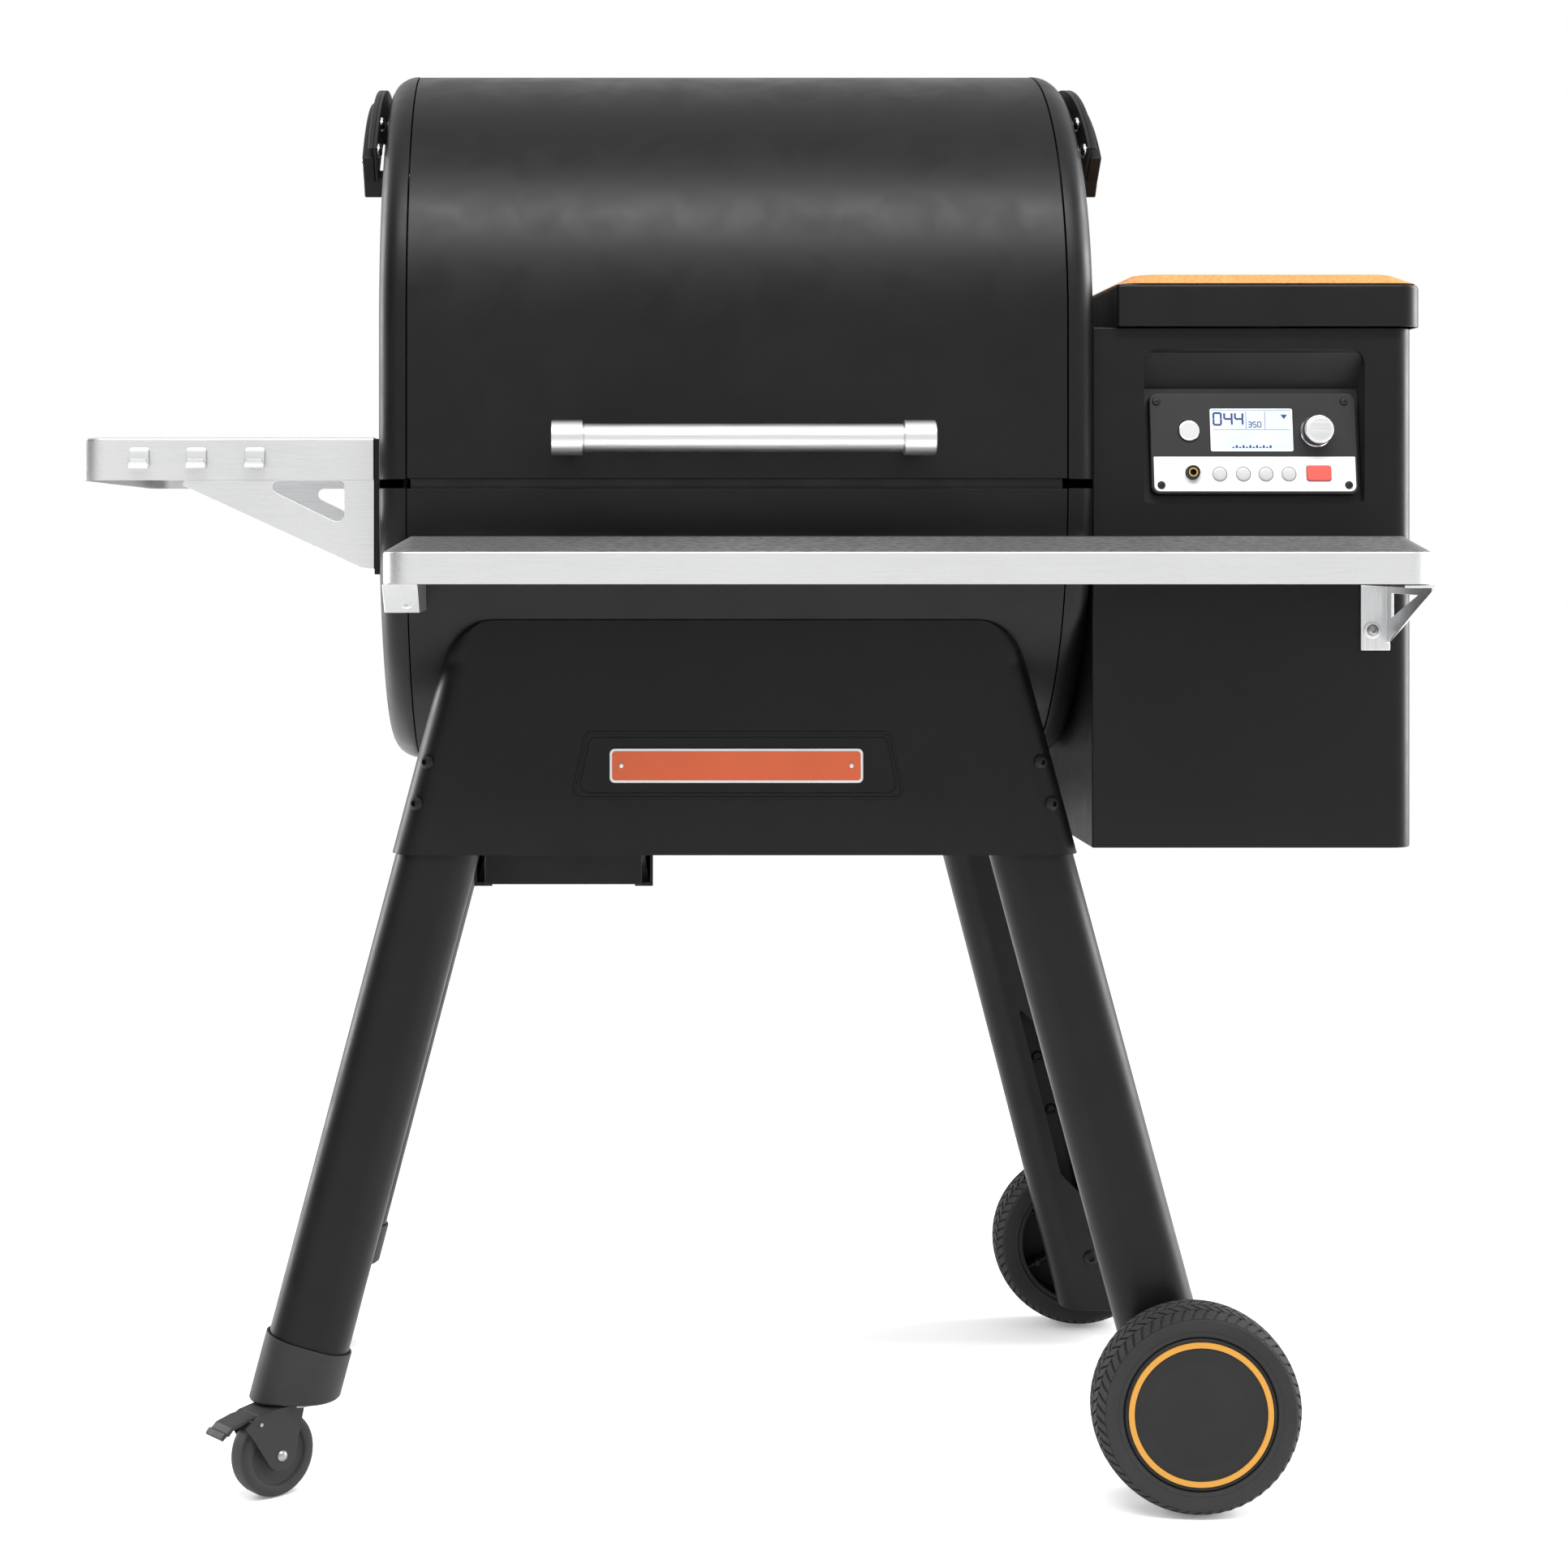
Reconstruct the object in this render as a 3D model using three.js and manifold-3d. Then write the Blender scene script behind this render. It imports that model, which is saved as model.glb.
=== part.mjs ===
// Pellet smoker grill: a stadium-section cooking barrel on four splayed legs, with a pellet hopper,
// a controller, two shelves, two wheels and two braked casters. Millimetres, +Z up, -Y is the front.
// Everything is drawn from the barrel's middle plane (X = 0, Y = 0) and the floor (Z = 0).
import * as THREE from 'three';
import { mergeVertices } from 'three/addons/utils/BufferGeometryUtils.js';
import Module from 'manifold-3d';

const wasm = await Module();
wasm.setup();

// ---------------------------------------------------------------- driving dimensions
const GAP = 0.3; // clearance between neighbouring pieces
const SHEET = 2.5; // painted steel sheet
const THIN = 2; // stainless sheet
const SHIFT = { x: -11, y: 20 }; // puts the model's box centre on the origin

const BARREL = { r: 255, low: 883, high: 1025, seam: 289, end: 315, round: 24 };
const SEAM = { front: -200, lid: 890, body: 882, cornerY: 164, rise: 334 };
const PIVOT = { y: 164, z: 1220, pin: 5 };
const ARM = { inner: 203, outer: 243, from: 137, to: 60, x0: 321, x1: 335, plate: 3 };
const HANDLE = { r: 12, left: -162, right: 166, y: -314, z: 924, boss: 15, bossLength: 27, post: 8 };
const GRATES = [
  { name: 'grate_lower', z: 884, halfX: 280, front: -236, back: 232, bars: 9 },
  { name: 'grate_middle', z: 985, halfX: 280, front: -210, back: 210, bars: 9 },
  { name: 'grate_upper', z: 1085, halfX: 280, front: -150, back: 205, bars: 9 },
];
const ROD = 5; // square grate rods
const HOPPER = { left: 316, right: 602, front: -225, back: 225, low: 564, high: 1025, corner: 20 };
const HOPPER_LID = { left: 337, right: 608, front: -233, back: 231, low: 1025.4, high: 1063, corner: 22 };
const BOARD = { inset: 3, top: 1073, chamfer: 17, rise: 9.5 };
const POCKET = { left: 362, right: 557, low: 869, ridge: 972, high: 1006 };
const PANEL = { x: 460, y: -216.9, z: 923, width: 181, height: 89, thick: 10, tilt: 8.3, corner: 7 };
const BUTTON_DEPTH = 8;
const MENU_X = [-30.2, -9.3, 10.7, 31.1];
const FRONT_SHELF = {
  left: -303, right: 579, front: -371.5, low: 800, lip: 827, top: 840, bevel: 24, corner: 27,
};
const SIDE_SHELF = { left: -586, right: -321, half: 209, low: 890, high: 928, corner: 25 };
const HOOK_X = [-530, -479, -427];
const LEG = {
  width: 75, depth: 52, wall: 3, top: 685, foot: 34, x505: 278, slopeX: 0.263, y560: 208, slopeY: 0.05,
};
const LEG_SLOT = [[-3, 354], [29, 309], [29, 133], [-3, 178]]; // across the leg, height
const SLOT_MIDDLE = 240;
const APRON = { low: 559, high: 766, flat: 213, outer: 304.5, y: 227.6, sheet: 3, wrap: 30 };
const WHEEL = { x: 393, y: 290, z: 90, half: 27, bore: 8.4, axle: 8, segments: 28 };
const CASTER = { x: -388, y: 232, r: 37.5, trail: 25, half: 12, stem: 6, segments: 24 };
const CASTER_YAW = { front: -140.3, rear: -100 };
const COLLAR = { low: 80, high: 130, wall: 2.5, floor: 12 };
const AUGER = { z: 690, tube: 32, flight: 27, core: 8, pitch: 90, start: 66, end: 524 };
const FIRE_POT = { r: 58, low: 652, high: 742 };
const GREASE = { left: -225, right: -81, front: -130, back: 130, low: 520, high: 553 };
const DRAIN = { x: -153, r: 22 };
const DUCT = { half: 200, back: 331.5, low: 775, high: 1000 };

// ---------------------------------------------------------------- colours
const paint = (color, roughness, metalness) =>
  new THREE.MeshStandardMaterial({ color, roughness, metalness });
const blackPaint = () => paint(0x2b2b2b, 0.45, 0.1);
const darkPaint = () => paint(0x222222, 0.6, 0.1);
const stainless = () => paint(0xc9cacb, 0.32, 0.9);
const chrome = () => paint(0xe6e8ea, 0.12, 1);
const rubber = () => paint(0x3c3c3c, 0.8, 0);
const plastic = () => paint(0x3a3a3b, 0.55, 0);
const whitePlastic = () => paint(0xf1f1f1, 0.4, 0);
const redPlastic = () => paint(0xf56e69, 0.4, 0);
const bamboo = () => paint(0xf0b464, 0.5, 0);
const ironCoat = () => paint(0x1d1d1e, 0.7, 0.2);
const castIron = () => paint(0x3b3735, 0.75, 0.6);

// ---------------------------------------------------------------- solids and meshes
function orientedTriangles(geometry) {
  const p = geometry.attributes.position;
  const kept = [];
  let volume = 0;
  const [a, b, c] = [new THREE.Vector3(), new THREE.Vector3(), new THREE.Vector3()];
  for (let i = 0; i < geometry.index.count; i += 3) {
    const t = [0, 1, 2].map((k) => geometry.index.getX(i + k));
    if (t[0] === t[1] || t[1] === t[2] || t[0] === t[2]) continue;
    a.fromBufferAttribute(p, t[0]);
    b.fromBufferAttribute(p, t[1]);
    c.fromBufferAttribute(p, t[2]);
    volume += a.dot(b.cross(c));
    kept.push(t);
  }
  if (volume < 0) kept.forEach((t) => t.reverse());
  return new Uint32Array(kept.flat());
}

function toSolid(geometry) {
  const bare = geometry.clone();
  bare.deleteAttribute('normal');
  bare.deleteAttribute('uv');
  const merged = mergeVertices(bare, 1e-3);
  const vertProperties = new Float32Array(merged.attributes.position.array);
  const triVerts = orientedTriangles(merged);
  return new wasm.Manifold(new wasm.Mesh({ numProp: 3, vertProperties, triVerts }));
}

function toGeometry(solid) {
  const mesh = solid.getMesh();
  const geometry = new THREE.BufferGeometry();
  geometry.setAttribute('position', new THREE.BufferAttribute(mesh.vertProperties, 3));
  geometry.setIndex(new THREE.BufferAttribute(mesh.triVerts, 1));
  return geometry;
}

const join = (...solids) => solids.reduce((a, b) => a.add(b));
const cut = (solid, ...tools) => tools.reduce((a, b) => a.subtract(b), solid);

function largest(solid) {
  const parts = solid.decompose();
  return parts.sort((a, b) => b.volume() - a.volume())[0];
}

function place(group, name, solid, material) {
  const mesh = new THREE.Mesh(toGeometry(solid), material);
  mesh.name = name;
  group.add(mesh);
  return mesh;
}

// ---------------------------------------------------------------- shapes
const vec = (x, y, z) => new THREE.Vector3(x, y, z);
const rad = THREE.MathUtils.degToRad;

function polygon(points) {
  return new THREE.Shape(points.map(([x, y]) => new THREE.Vector2(x, y)));
}

function roundedRect(x0, x1, y0, y1, r) {
  const s = new THREE.Shape();
  s.moveTo(x0 + r, y0);
  s.lineTo(x1 - r, y0);
  s.absarc(x1 - r, y0 + r, r, -Math.PI / 2, 0);
  s.lineTo(x1, y1 - r);
  s.absarc(x1 - r, y1 - r, r, 0, Math.PI / 2);
  s.lineTo(x0 + r, y1);
  s.absarc(x0 + r, y1 - r, r, Math.PI / 2, Math.PI);
  s.lineTo(x0, y0 + r);
  s.absarc(x0 + r, y0 + r, r, Math.PI, Math.PI * 1.5);
  return s;
}

function stadium(r) {
  const s = new THREE.Shape();
  s.absarc(0, BARREL.high, r, 0, Math.PI);
  s.lineTo(-r, BARREL.low);
  s.absarc(0, BARREL.low, r, Math.PI, Math.PI * 2);
  s.lineTo(r, BARREL.high);
  return s;
}

function disc(x, y, r) {
  const s = new THREE.Shape();
  s.absarc(x, y, r, 0, Math.PI * 2);
  return s;
}

function extrude(shape, depth, curveSegments, extra = {}) {
  return new THREE.ExtrudeGeometry(shape, { depth, curveSegments, bevelEnabled: false, ...extra });
}

// a shape drawn in (Y, Z) and pushed along X
function prismX(shape, x0, x1, segments = 12) {
  const g = extrude(shape, x1 - x0, segments);
  g.applyMatrix4(new THREE.Matrix4().makeBasis(vec(0, 1, 0), vec(0, 0, 1), vec(1, 0, 0)));
  return toSolid(g.translate(x0, 0, 0));
}

// a shape drawn in (X, Z) and pushed along Y
function prismY(shape, y0, y1, segments = 12) {
  const g = extrude(shape, y1 - y0, segments);
  g.applyMatrix4(new THREE.Matrix4().makeBasis(vec(1, 0, 0), vec(0, 0, 1), vec(0, -1, 0)));
  return toSolid(g.translate(0, y1, 0));
}

// a shape drawn in (X, Y) and pushed along Z
function prismZ(shape, z0, z1, segments = 6) {
  return toSolid(extrude(shape, z1 - z0, segments).translate(0, 0, z0));
}

function block(x0, x1, y0, y1, z0, z1) {
  const g = new THREE.BoxGeometry(x1 - x0, y1 - y0, z1 - z0);
  return toSolid(g.translate((x0 + x1) / 2, (y0 + y1) / 2, (z0 + z1) / 2));
}

// a profile of [radius, height] pairs turned about an axis, with a flat facet underneath
function turned(axis, profile, segments = 24) {
  const points = profile.map(([r, h]) => new THREE.Vector2(r / Math.cos(Math.PI / segments), h));
  const g = new THREE.LatheGeometry(points, segments).rotateY(Math.PI / segments);
  if (axis === 'z') g.rotateX(Math.PI / 2);
  if (axis === 'x') g.rotateZ(-Math.PI / 2);
  return toSolid(g);
}

function rod(axis, r, from, to, segments = 16) {
  return turned(axis, [[0, from], [r, from], [r, to], [0, to]], segments);
}

function ring(profile) {
  return [...profile, profile[0]];
}

// slides every point sideways in proportion to its height above z0
function lean(solid, dxdz, dydz, z0) {
  const g = toGeometry(solid);
  const m = new THREE.Matrix4().set(1, 0, dxdz, -dxdz * z0, 0, 1, dydz, -dydz * z0, 0, 0, 1, 0, 0, 0, 0, 1);
  return toSolid(g.applyMatrix4(m));
}

function mirrored(solid, x, y) {
  return toSolid(toGeometry(solid).applyMatrix4(new THREE.Matrix4().makeScale(x, y, 1)));
}

// ---------------------------------------------------------------- barrel: lid and body
const SEAM_SLOPE = SEAM.rise / (SEAM.cornerY - SEAM.front);
const FAR = 420;

function seamLine(z) {
  return [[-FAR, z], [SEAM.front, z], [FAR, z + SEAM_SLOPE * (FAR - SEAM.front)]];
}

const lidRegion = () => prismX(polygon([...seamLine(SEAM.lid), [FAR, 1900], [-FAR, 1900]]), -FAR, FAR);
const bodyRegion = () => prismX(polygon([...seamLine(SEAM.body), [FAR, 400], [-FAR, 400]]), -FAR, FAR);

function barrelTube() {
  const outer = prismX(stadium(BARREL.r), -BARREL.seam, BARREL.seam);
  return cut(outer, prismX(stadium(BARREL.r - SHEET), -FAR, FAR));
}

function dishedEnd(r, end, round) {
  const bevel = {
    bevelEnabled: true, bevelThickness: round, bevelSize: round, bevelOffset: -round, bevelSegments: 3,
  };
  const g = extrude(stadium(r), round * 2, 12, bevel);
  g.applyMatrix4(new THREE.Matrix4().makeBasis(vec(0, 1, 0), vec(0, 0, 1), vec(1, 0, 0)));
  return toSolid(g.translate(end - round * 3, 0, 0));
}

function endCap() {
  const outer = dishedEnd(BARREL.r + 0.5, BARREL.end, BARREL.round);
  const inner = dishedEnd(BARREL.r - SHEET, BARREL.end - SHEET, BARREL.round - SHEET);
  const dish = cut(outer, inner);
  return cut(dish, block(0, BARREL.seam + GAP, -FAR, FAR, 400, 1500));
}

function sided(solid, side) {
  return side > 0 ? solid : mirrored(solid, -1, 1);
}

function hingeArm() {
  const sweep = new THREE.Shape();
  const top = BARREL.high;
  sweep.absarc(0, top, ARM.outer, rad(ARM.from), rad(ARM.to), true);
  sweep.absarc(0, top, ARM.inner, rad(ARM.to), rad(ARM.from), false);
  const strap = prismX(sweep, ARM.x0, ARM.x0 + ARM.plate, 7);
  const boss = prismX(disc(PIVOT.y, PIVOT.z, 14), ARM.x0, ARM.x0 + ARM.plate, 6);
  const tail = polygon([[96, 1210], [122, 1234], [170, 1232.5], [176, 1212], [150, 1190], [104, 1190]]);
  const link = prismX(tail, ARM.x0, ARM.x0 + ARM.plate);
  const cover = new THREE.Shape();
  cover.absarc(0, top, ARM.outer - 12, rad(ARM.from), rad(92), true);
  cover.absarc(0, top, ARM.inner, rad(98), rad(ARM.from), false);
  const housing = prismX(cover, ARM.x0 + ARM.plate - 1, ARM.x1, 5);
  const stop = polygon([[-150, 1166], [-138, 1150], [-126, 1160], [-140, 1176]]);
  const stopBlock = prismX(stop, ARM.x0 - 5, ARM.x1);
  const pinHole = prismX(disc(PIVOT.y, PIVOT.z, PIVOT.pin + GAP), ARM.x0 - 2, ARM.x1 + 2, 6);
  return cut(join(strap, boss, link, housing, stopBlock), pinHole);
}

function hingeBracket() {
  const outline = polygon([[70, 1060], [130, 1050], [176, 1150], [177, 1226], [152, 1230], [96, 1132]]);
  const plate = prismX(outline, BARREL.end + GAP, ARM.x0 - GAP);
  const foot = prismX(outline, BARREL.end - 1, BARREL.end + 1).intersect(bodyRegion());
  const pin = prismX(disc(PIVOT.y, PIVOT.z, PIVOT.pin), BARREL.end + 1, ARM.x1 - 4, 6);
  return join(plate, foot, pin);
}

function gratePosts() {
  const posts = [-125, 150].map((y) => block(296, 300, y - 10, y + 10, 760, 1090));
  const ledge = (y, z) => block(283, 298, y - 8, y + 8, z - 6, z - GAP);
  const ledges = GRATES.flatMap((g) => [-125, 150].map((y) => ledge(y, g.z)));
  const ties = [800, 1080].map((z) => block(296, 300, -125, 150, z - 8, z + 8));
  const foot = [-90, 110].map((y) => block(298, 313, y - 12, y + 12, 788, 806));
  return join(...posts, ...ledges, ...ties, ...foot);
}

function bodyCap(side) {
  const hole = prismX(disc(0, AUGER.z, AUGER.tube + 1), 280, 330);
  const shell = endCap().intersect(bodyRegion());
  const cap = join(side > 0 ? cut(shell, hole) : shell, hingeBracket(), gratePosts());
  return sided(cap, side);
}

function bodyShell() {
  const shell = barrelTube().intersect(bodyRegion());
  const liner = cut(
    prismX(stadium(BARREL.r - 7), -286, 286),
    prismX(stadium(BARREL.r - 9), -FAR, FAR),
  ).intersect(block(-FAR, FAR, -FAR, -200, 862, 904));
  const web = block(-286, 286, -BARREL.r + 2, -BARREL.r + 8.5, 862, 864);
  const { r } = DRAIN;
  const spout = turned('z', ring([[r - 3, 560], [r, 560], [r, 632], [r - 3, 632]]), 16);
  const drain = rod('z', r - 3, 600, 660, 16).translate([DRAIN.x, 0, 0]);
  const exhaustSlot = block(-180, 180, 240, 262, 955, 982);
  return join(cut(join(shell, liner, web), drain, exhaustSlot), spout.translate([DRAIN.x, 0, 0]));
}

function lidHandle() {
  const bar = rod('x', HANDLE.r, HANDLE.left + 2, HANDLE.right - 2, 14);
  const bosses = [HANDLE.left, HANDLE.right - HANDLE.bossLength];
  const collars = bosses.map((x) => rod('x', HANDLE.boss, x, x + HANDLE.bossLength, 14));
  const grip = join(bar, ...collars).translate([0, HANDLE.y, HANDLE.z]);
  const middles = bosses.map((x) => x + HANDLE.bossLength / 2);
  const back = -BARREL.r - GAP;
  const posts = middles.map((x) => rod('y', HANDLE.post, HANDLE.y, back, 10).translate([x, 0, HANDLE.z]));
  const feet = middles.map((x) => rod('y', 13, back - 4, back, 12).translate([x, 0, HANDLE.z]));
  return join(grip, ...posts, ...feet);
}

// ---------------------------------------------------------------- inside the barrel
function grate({ z, halfX, front, back, bars }) {
  const plate = block(-halfX, halfX, front, back, z, z + ROD);
  const frame = cut(plate, block(-halfX + ROD, halfX - ROD, front + ROD, back - ROD, z - 5, z + 15));
  const spine = block(-halfX + 2, halfX - 2, -ROD / 2, ROD / 2, z + 0.5, z + ROD - 0.5);
  const step = (2 * halfX) / (bars + 1);
  const rods = Array.from({ length: bars }, (_, i) => {
    const x = -halfX + step * (i + 1);
    return block(x - ROD / 2, x + ROD / 2, front + 1, back - 1, z + 1, z + ROD + 1);
  });
  return join(frame, spine, ...rods);
}

function dripTray() {
  const outer = block(-268, 268, -214, 214, 812, 834);
  const inner = block(-268 + THIN, 268 - THIN, -214 + THIN, 214 - THIN, 812 + THIN, 840);
  const mouth = block(DRAIN.x - 20, DRAIN.x + 20, -20, 20, 805, 820);
  return cut(outer, inner, mouth);
}

function heatBaffle() {
  const roof = polygon([
    [-150, 768], [-90, 796], [90, 796], [150, 768], [150, 765.5], [90, 793], [-90, 793], [-150, 765.5],
  ]);
  return prismX(roof, -190, 190);
}

function firePot() {
  const { r, low, high } = FIRE_POT;
  const cup = turned('z', [[0, low], [r, low], [r, high], [r - 3, high], [r - 3, low + 4], [0, low + 4]], 20);
  const inlet = rod('x', AUGER.tube - 6, 30, 90, 12).translate([0, 0, AUGER.z]);
  const vent = (a) => rod('x', 4, -70, 70, 6).rotate([0, 0, a]).translate([0, 0, low + 20]);
  const vents = [30, 90, 150].map(vent);
  const foot = rod('z', 20, BARREL.low - BARREL.r + SHEET + 2.2, low + 1, 12);
  return join(cut(cup, inlet, ...vents), foot);
}

// ---------------------------------------------------------------- pellet feed
function augerTube() {
  const { tube, z } = AUGER;
  const from = FIRE_POT.r + 1.5;
  const to = AUGER.end + 0.5;
  const shell = turned('x', ring([[tube - 3, from], [tube, from], [tube, to], [tube - 3, to]]), 24);
  const mouth = block(430, 488, -18, 18, z + 10, z + 40);
  return cut(shell.translate([0, 0, z]), mouth);
}

// a shaft with one fin, twisted along its length into a screw
function augerScrew() {
  const { core, flight, pitch, start, end, z } = AUGER;
  const finHalf = rad(8);
  const rootHalf = rad(30);
  const polar = (r, a) => [r * Math.cos(a), r * Math.sin(a)];
  const shaft = [1, 2, 3, 4, 5].map((i) => polar(core, rootHalf + (i * (Math.PI - rootHalf)) / 3));
  const tip = [polar(flight, -finHalf), polar(flight, finHalf)];
  const fin = [polar(core, -rootHalf), ...tip, polar(core, rootHalf)];
  const length = end - start;
  const steps = Math.round((length / pitch) * 10);
  const g = extrude(polygon([...fin, ...shaft]), length, 1, { steps });
  const p = g.attributes.position;
  for (let i = 0; i < p.count; i++) {
    const turn = (p.getZ(i) / pitch) * Math.PI * 2;
    const [x, y] = [p.getX(i), p.getY(i)];
    p.setXY(i, x * Math.cos(turn) - y * Math.sin(turn), x * Math.sin(turn) + y * Math.cos(turn));
  }
  return toSolid(g.rotateY(Math.PI / 2).translate(start, 0, z));
}

function augerMotor() {
  const can = block(AUGER.end + 0.5 + GAP, 586, -42, 42, AUGER.z - 42, AUGER.z + 42);
  return join(can, block(540, 580, -50, 50, AUGER.z - 50, AUGER.z - 38));
}

function fanHousing() {
  const shell = turned('x', ring([[47, 0], [50, 0], [50, 40], [12, 40], [12, 37], [47, 37]]), 20);
  return shell.translate([400, 100, 640]);
}

function fanRotor() {
  const hub = rod('x', 10, 4, 36.5, 12);
  const back = rod('x', 42, 30, 32, 20);
  const blades = Array.from({ length: 8 }, (_, i) => block(6, 31, -1.2, 1.2, 22, 41).rotate([i * 45, 0, 0]));
  return join(hub, back, ...blades).translate([400, 100, 640]);
}

// ---------------------------------------------------------------- hopper
function hopperWalls(inset, z0, z1) {
  const { left, right, front, back, corner } = HOPPER;
  const r = corner - inset;
  const s = roundedRect(left + inset, right - inset, front + inset, back - inset, r);
  const box = prismZ(s, z0, z1, 3);
  const square = block(left + inset, left + corner + 10, front + inset, back - inset, z0, z1);
  return join(box, square);
}

function pocketTool() {
  const s = polygon([
    [-240, POCKET.low], [-214.3, POCKET.low], [-199.3, POCKET.ridge],
    [-225, POCKET.high], [-240, POCKET.high],
  ]);
  return prismX(s, POCKET.left, POCKET.right);
}

function pocketLiner() {
  const s = polygon([
    [-223, POCKET.low - 3], [-211.3, POCKET.low - 3], [-196.1, POCKET.ridge + 1], [-223, POCKET.high + 4],
  ]);
  return prismX(s, POCKET.left - 3, POCKET.right + 3);
}

function hopperCasing() {
  const shell = cut(hopperWalls(0, HOPPER.low, HOPPER.high), hopperWalls(SHEET, HOPPER.low + SHEET, 1100));
  const tubeHole = prismX(disc(0, AUGER.z, AUGER.tube + 1), 300, 330);
  const fanVent = prismX(disc(100, 640, 30), 300, 330);
  const inletHole = block(438, 482, 220, 230, 598, 632);
  return cut(join(shell, pocketLiner()), pocketTool(), tubeHole, fanVent, inletHole);
}

function funnel(inset) {
  const i = inset;
  const top = 1018;
  const side = polygon([
    [-185 + i, top + i], [-185 + i, 930], [-17 + i, 736], [-17 + i, 722 - i],
    [17 - i, 722 - i], [17 - i, 736], [214 - i, 900], [214 - i, top + i],
  ]);
  const face = polygon([
    [332 + i, top + i], [332 + i, 900], [431 + i, 740], [431 + i, 722 - i],
    [487 - i, 722 - i], [487 - i, 740], [588 - i, 900], [588 - i, top + i],
  ]);
  return prismX(side, 300, 620).intersect(prismY(face, -230, 230));
}

function hopperLid() {
  const { left, right, front, back, low, high, corner } = HOPPER_LID;
  const s = roundedRect(left, right, front, back, corner);
  const inner = roundedRect(left + SHEET, right - SHEET, front + SHEET, back - SHEET, corner - SHEET);
  const outer = join(prismZ(s, low, high, 4), block(left, left + 40, front, back, low, high));
  const hollow = join(
    prismZ(inner, low - 10, high - SHEET, 4),
    block(left + SHEET, left + 40, front + SHEET, back - SHEET, low - 10, high - SHEET),
  );
  return cut(outer, hollow);
}

function cuttingBoard() {
  const { left, right, front, back, high, corner } = HOPPER_LID;
  const i = BOARD.inset + BOARD.chamfer;
  const s = roundedRect(left + i, right - i, front + i, back - i, corner - BOARD.inset);
  const bevel = {
    bevelEnabled: true, bevelThickness: BOARD.rise, bevelSize: BOARD.chamfer, bevelSegments: 1,
  };
  const g = extrude(s, 20, 4, bevel).translate(0, 0, BOARD.top - BOARD.rise - 20);
  return toSolid(g).intersect(block(300, 700, -FAR, FAR, high + GAP, 1200));
}

// ---------------------------------------------------------------- controller, drawn on its own tilted panel
// x runs along the panel, z up it, and -y points out of it; the origin is the panel's middle
function controllerBezel() {
  const { width, height, thick, corner } = PANEL;
  const plate = prismY(roundedRect(-width / 2, width / 2, -height / 2, height / 2, corner), 0, thick, 3);
  const depth = BUTTON_DEPTH + 1.5;
  const well = (x, z, r) => rod('y', r + GAP, -1, depth, 14).translate([x, 0, z]);
  const wells = [
    well(56.3, 10, 7), well(-56.3, 11, 9.6), well(-54.3, -26.9, 6.2),
    ...MENU_X.map((x) => well(x, -28.3, 6.4)),
  ];
  const igniteWell = block(46.5, 68.9, -1, depth, -34.5, -20.3);
  const screenWell = block(-37.4, 36, -1, 1.5, -7.7, 31);
  return cut(plate, ...wells, igniteWell, screenWell);
}

function knob() {
  const profile = [
    [0, -15], [12, -15], [13, -13.5], [13.2, -3], [14, -2.4], [14, -0.6], [6.7, -0.6], [6.7, 9], [0, 9],
  ];
  const cap = turned('y', profile, 18);
  return cap.translate([56.3, 0, 10]);
}

const button = (x, z, r, proud) => rod('y', r, -proud, BUTTON_DEPTH, 14).translate([x, 0, z]);

function igniteButton() {
  return prismY(roundedRect(46.8, 68.6, -34.2, -20.6, 2), -2, BUTTON_DEPTH, 2);
}

function probeJack() {
  const body = turned('y', [[0, 9], [6.2, 9], [6.2, -4], [4.6, -5], [2.4, -5], [2.4, 2], [0, 2]], 12);
  return body.translate([-54.3, 0, -26.9]);
}

// ---------------------------------------------------------------- shelves
function shelfBody(inset) {
  const { left, right, front, top, lip, bevel, corner } = FRONT_SHELF;
  const i = bevel + inset;
  const s = roundedRect(left + i, right - i, front + i, -front, corner - bevel);
  const rise = top - lip;
  const shape = { bevelEnabled: true, bevelThickness: rise, bevelSize: bevel, bevelSegments: 1 };
  return toSolid(extrude(s, 200, 4, shape).translate(0, 0, lip - 200 - inset));
}

function frontShelf() {
  const { left, right, low } = FRONT_SHELF;
  const sheet = cut(shelfBody(0), shelfBody(THIN));
  const nextToBarrel = block(left, HOPPER.left + 2, -FAR, -BARREL.r - 1, low, 900);
  const nextToHopper = block(HOPPER.left + 1, right, -FAR, HOPPER.front - 1, low, 900);
  return largest(sheet.intersect(join(nextToBarrel, nextToHopper)));
}

function shelfBracketLeft() {
  const top = FRONT_SHELF.low - GAP;
  const outline = polygon([[-362, top], [-236, top], [-232, 775], [-330, 775]]);
  const inner = polygon([[-358, top + 5], [-200, top + 5], [-200, 778], [-329, 778]]);
  const channel = cut(prismX(outline, -303, -273), prismX(inner, -300, -276));
  return largest(cut(channel, prismX(stadium(BARREL.r + 1), -FAR, FAR)));
}

function shelfBracketRight() {
  const top = FRONT_SHELF.low - GAP;
  const back = HOPPER.front - GAP;
  const plate = block(553, 579, back - 3, back, 739, top);
  const roof = block(553, 579, -360, back, top - 3, top);
  const web = polygon([[back, 745], [back, top], [-358, top], [-358, top - 6]]);
  const hole = polygon([[back - 14, 768], [back - 14, top - 10], [-318, top - 10]]);
  return join(plate, roof, cut(prismX(web, 576, 579), prismX(hole, 570, 585)));
}

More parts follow.
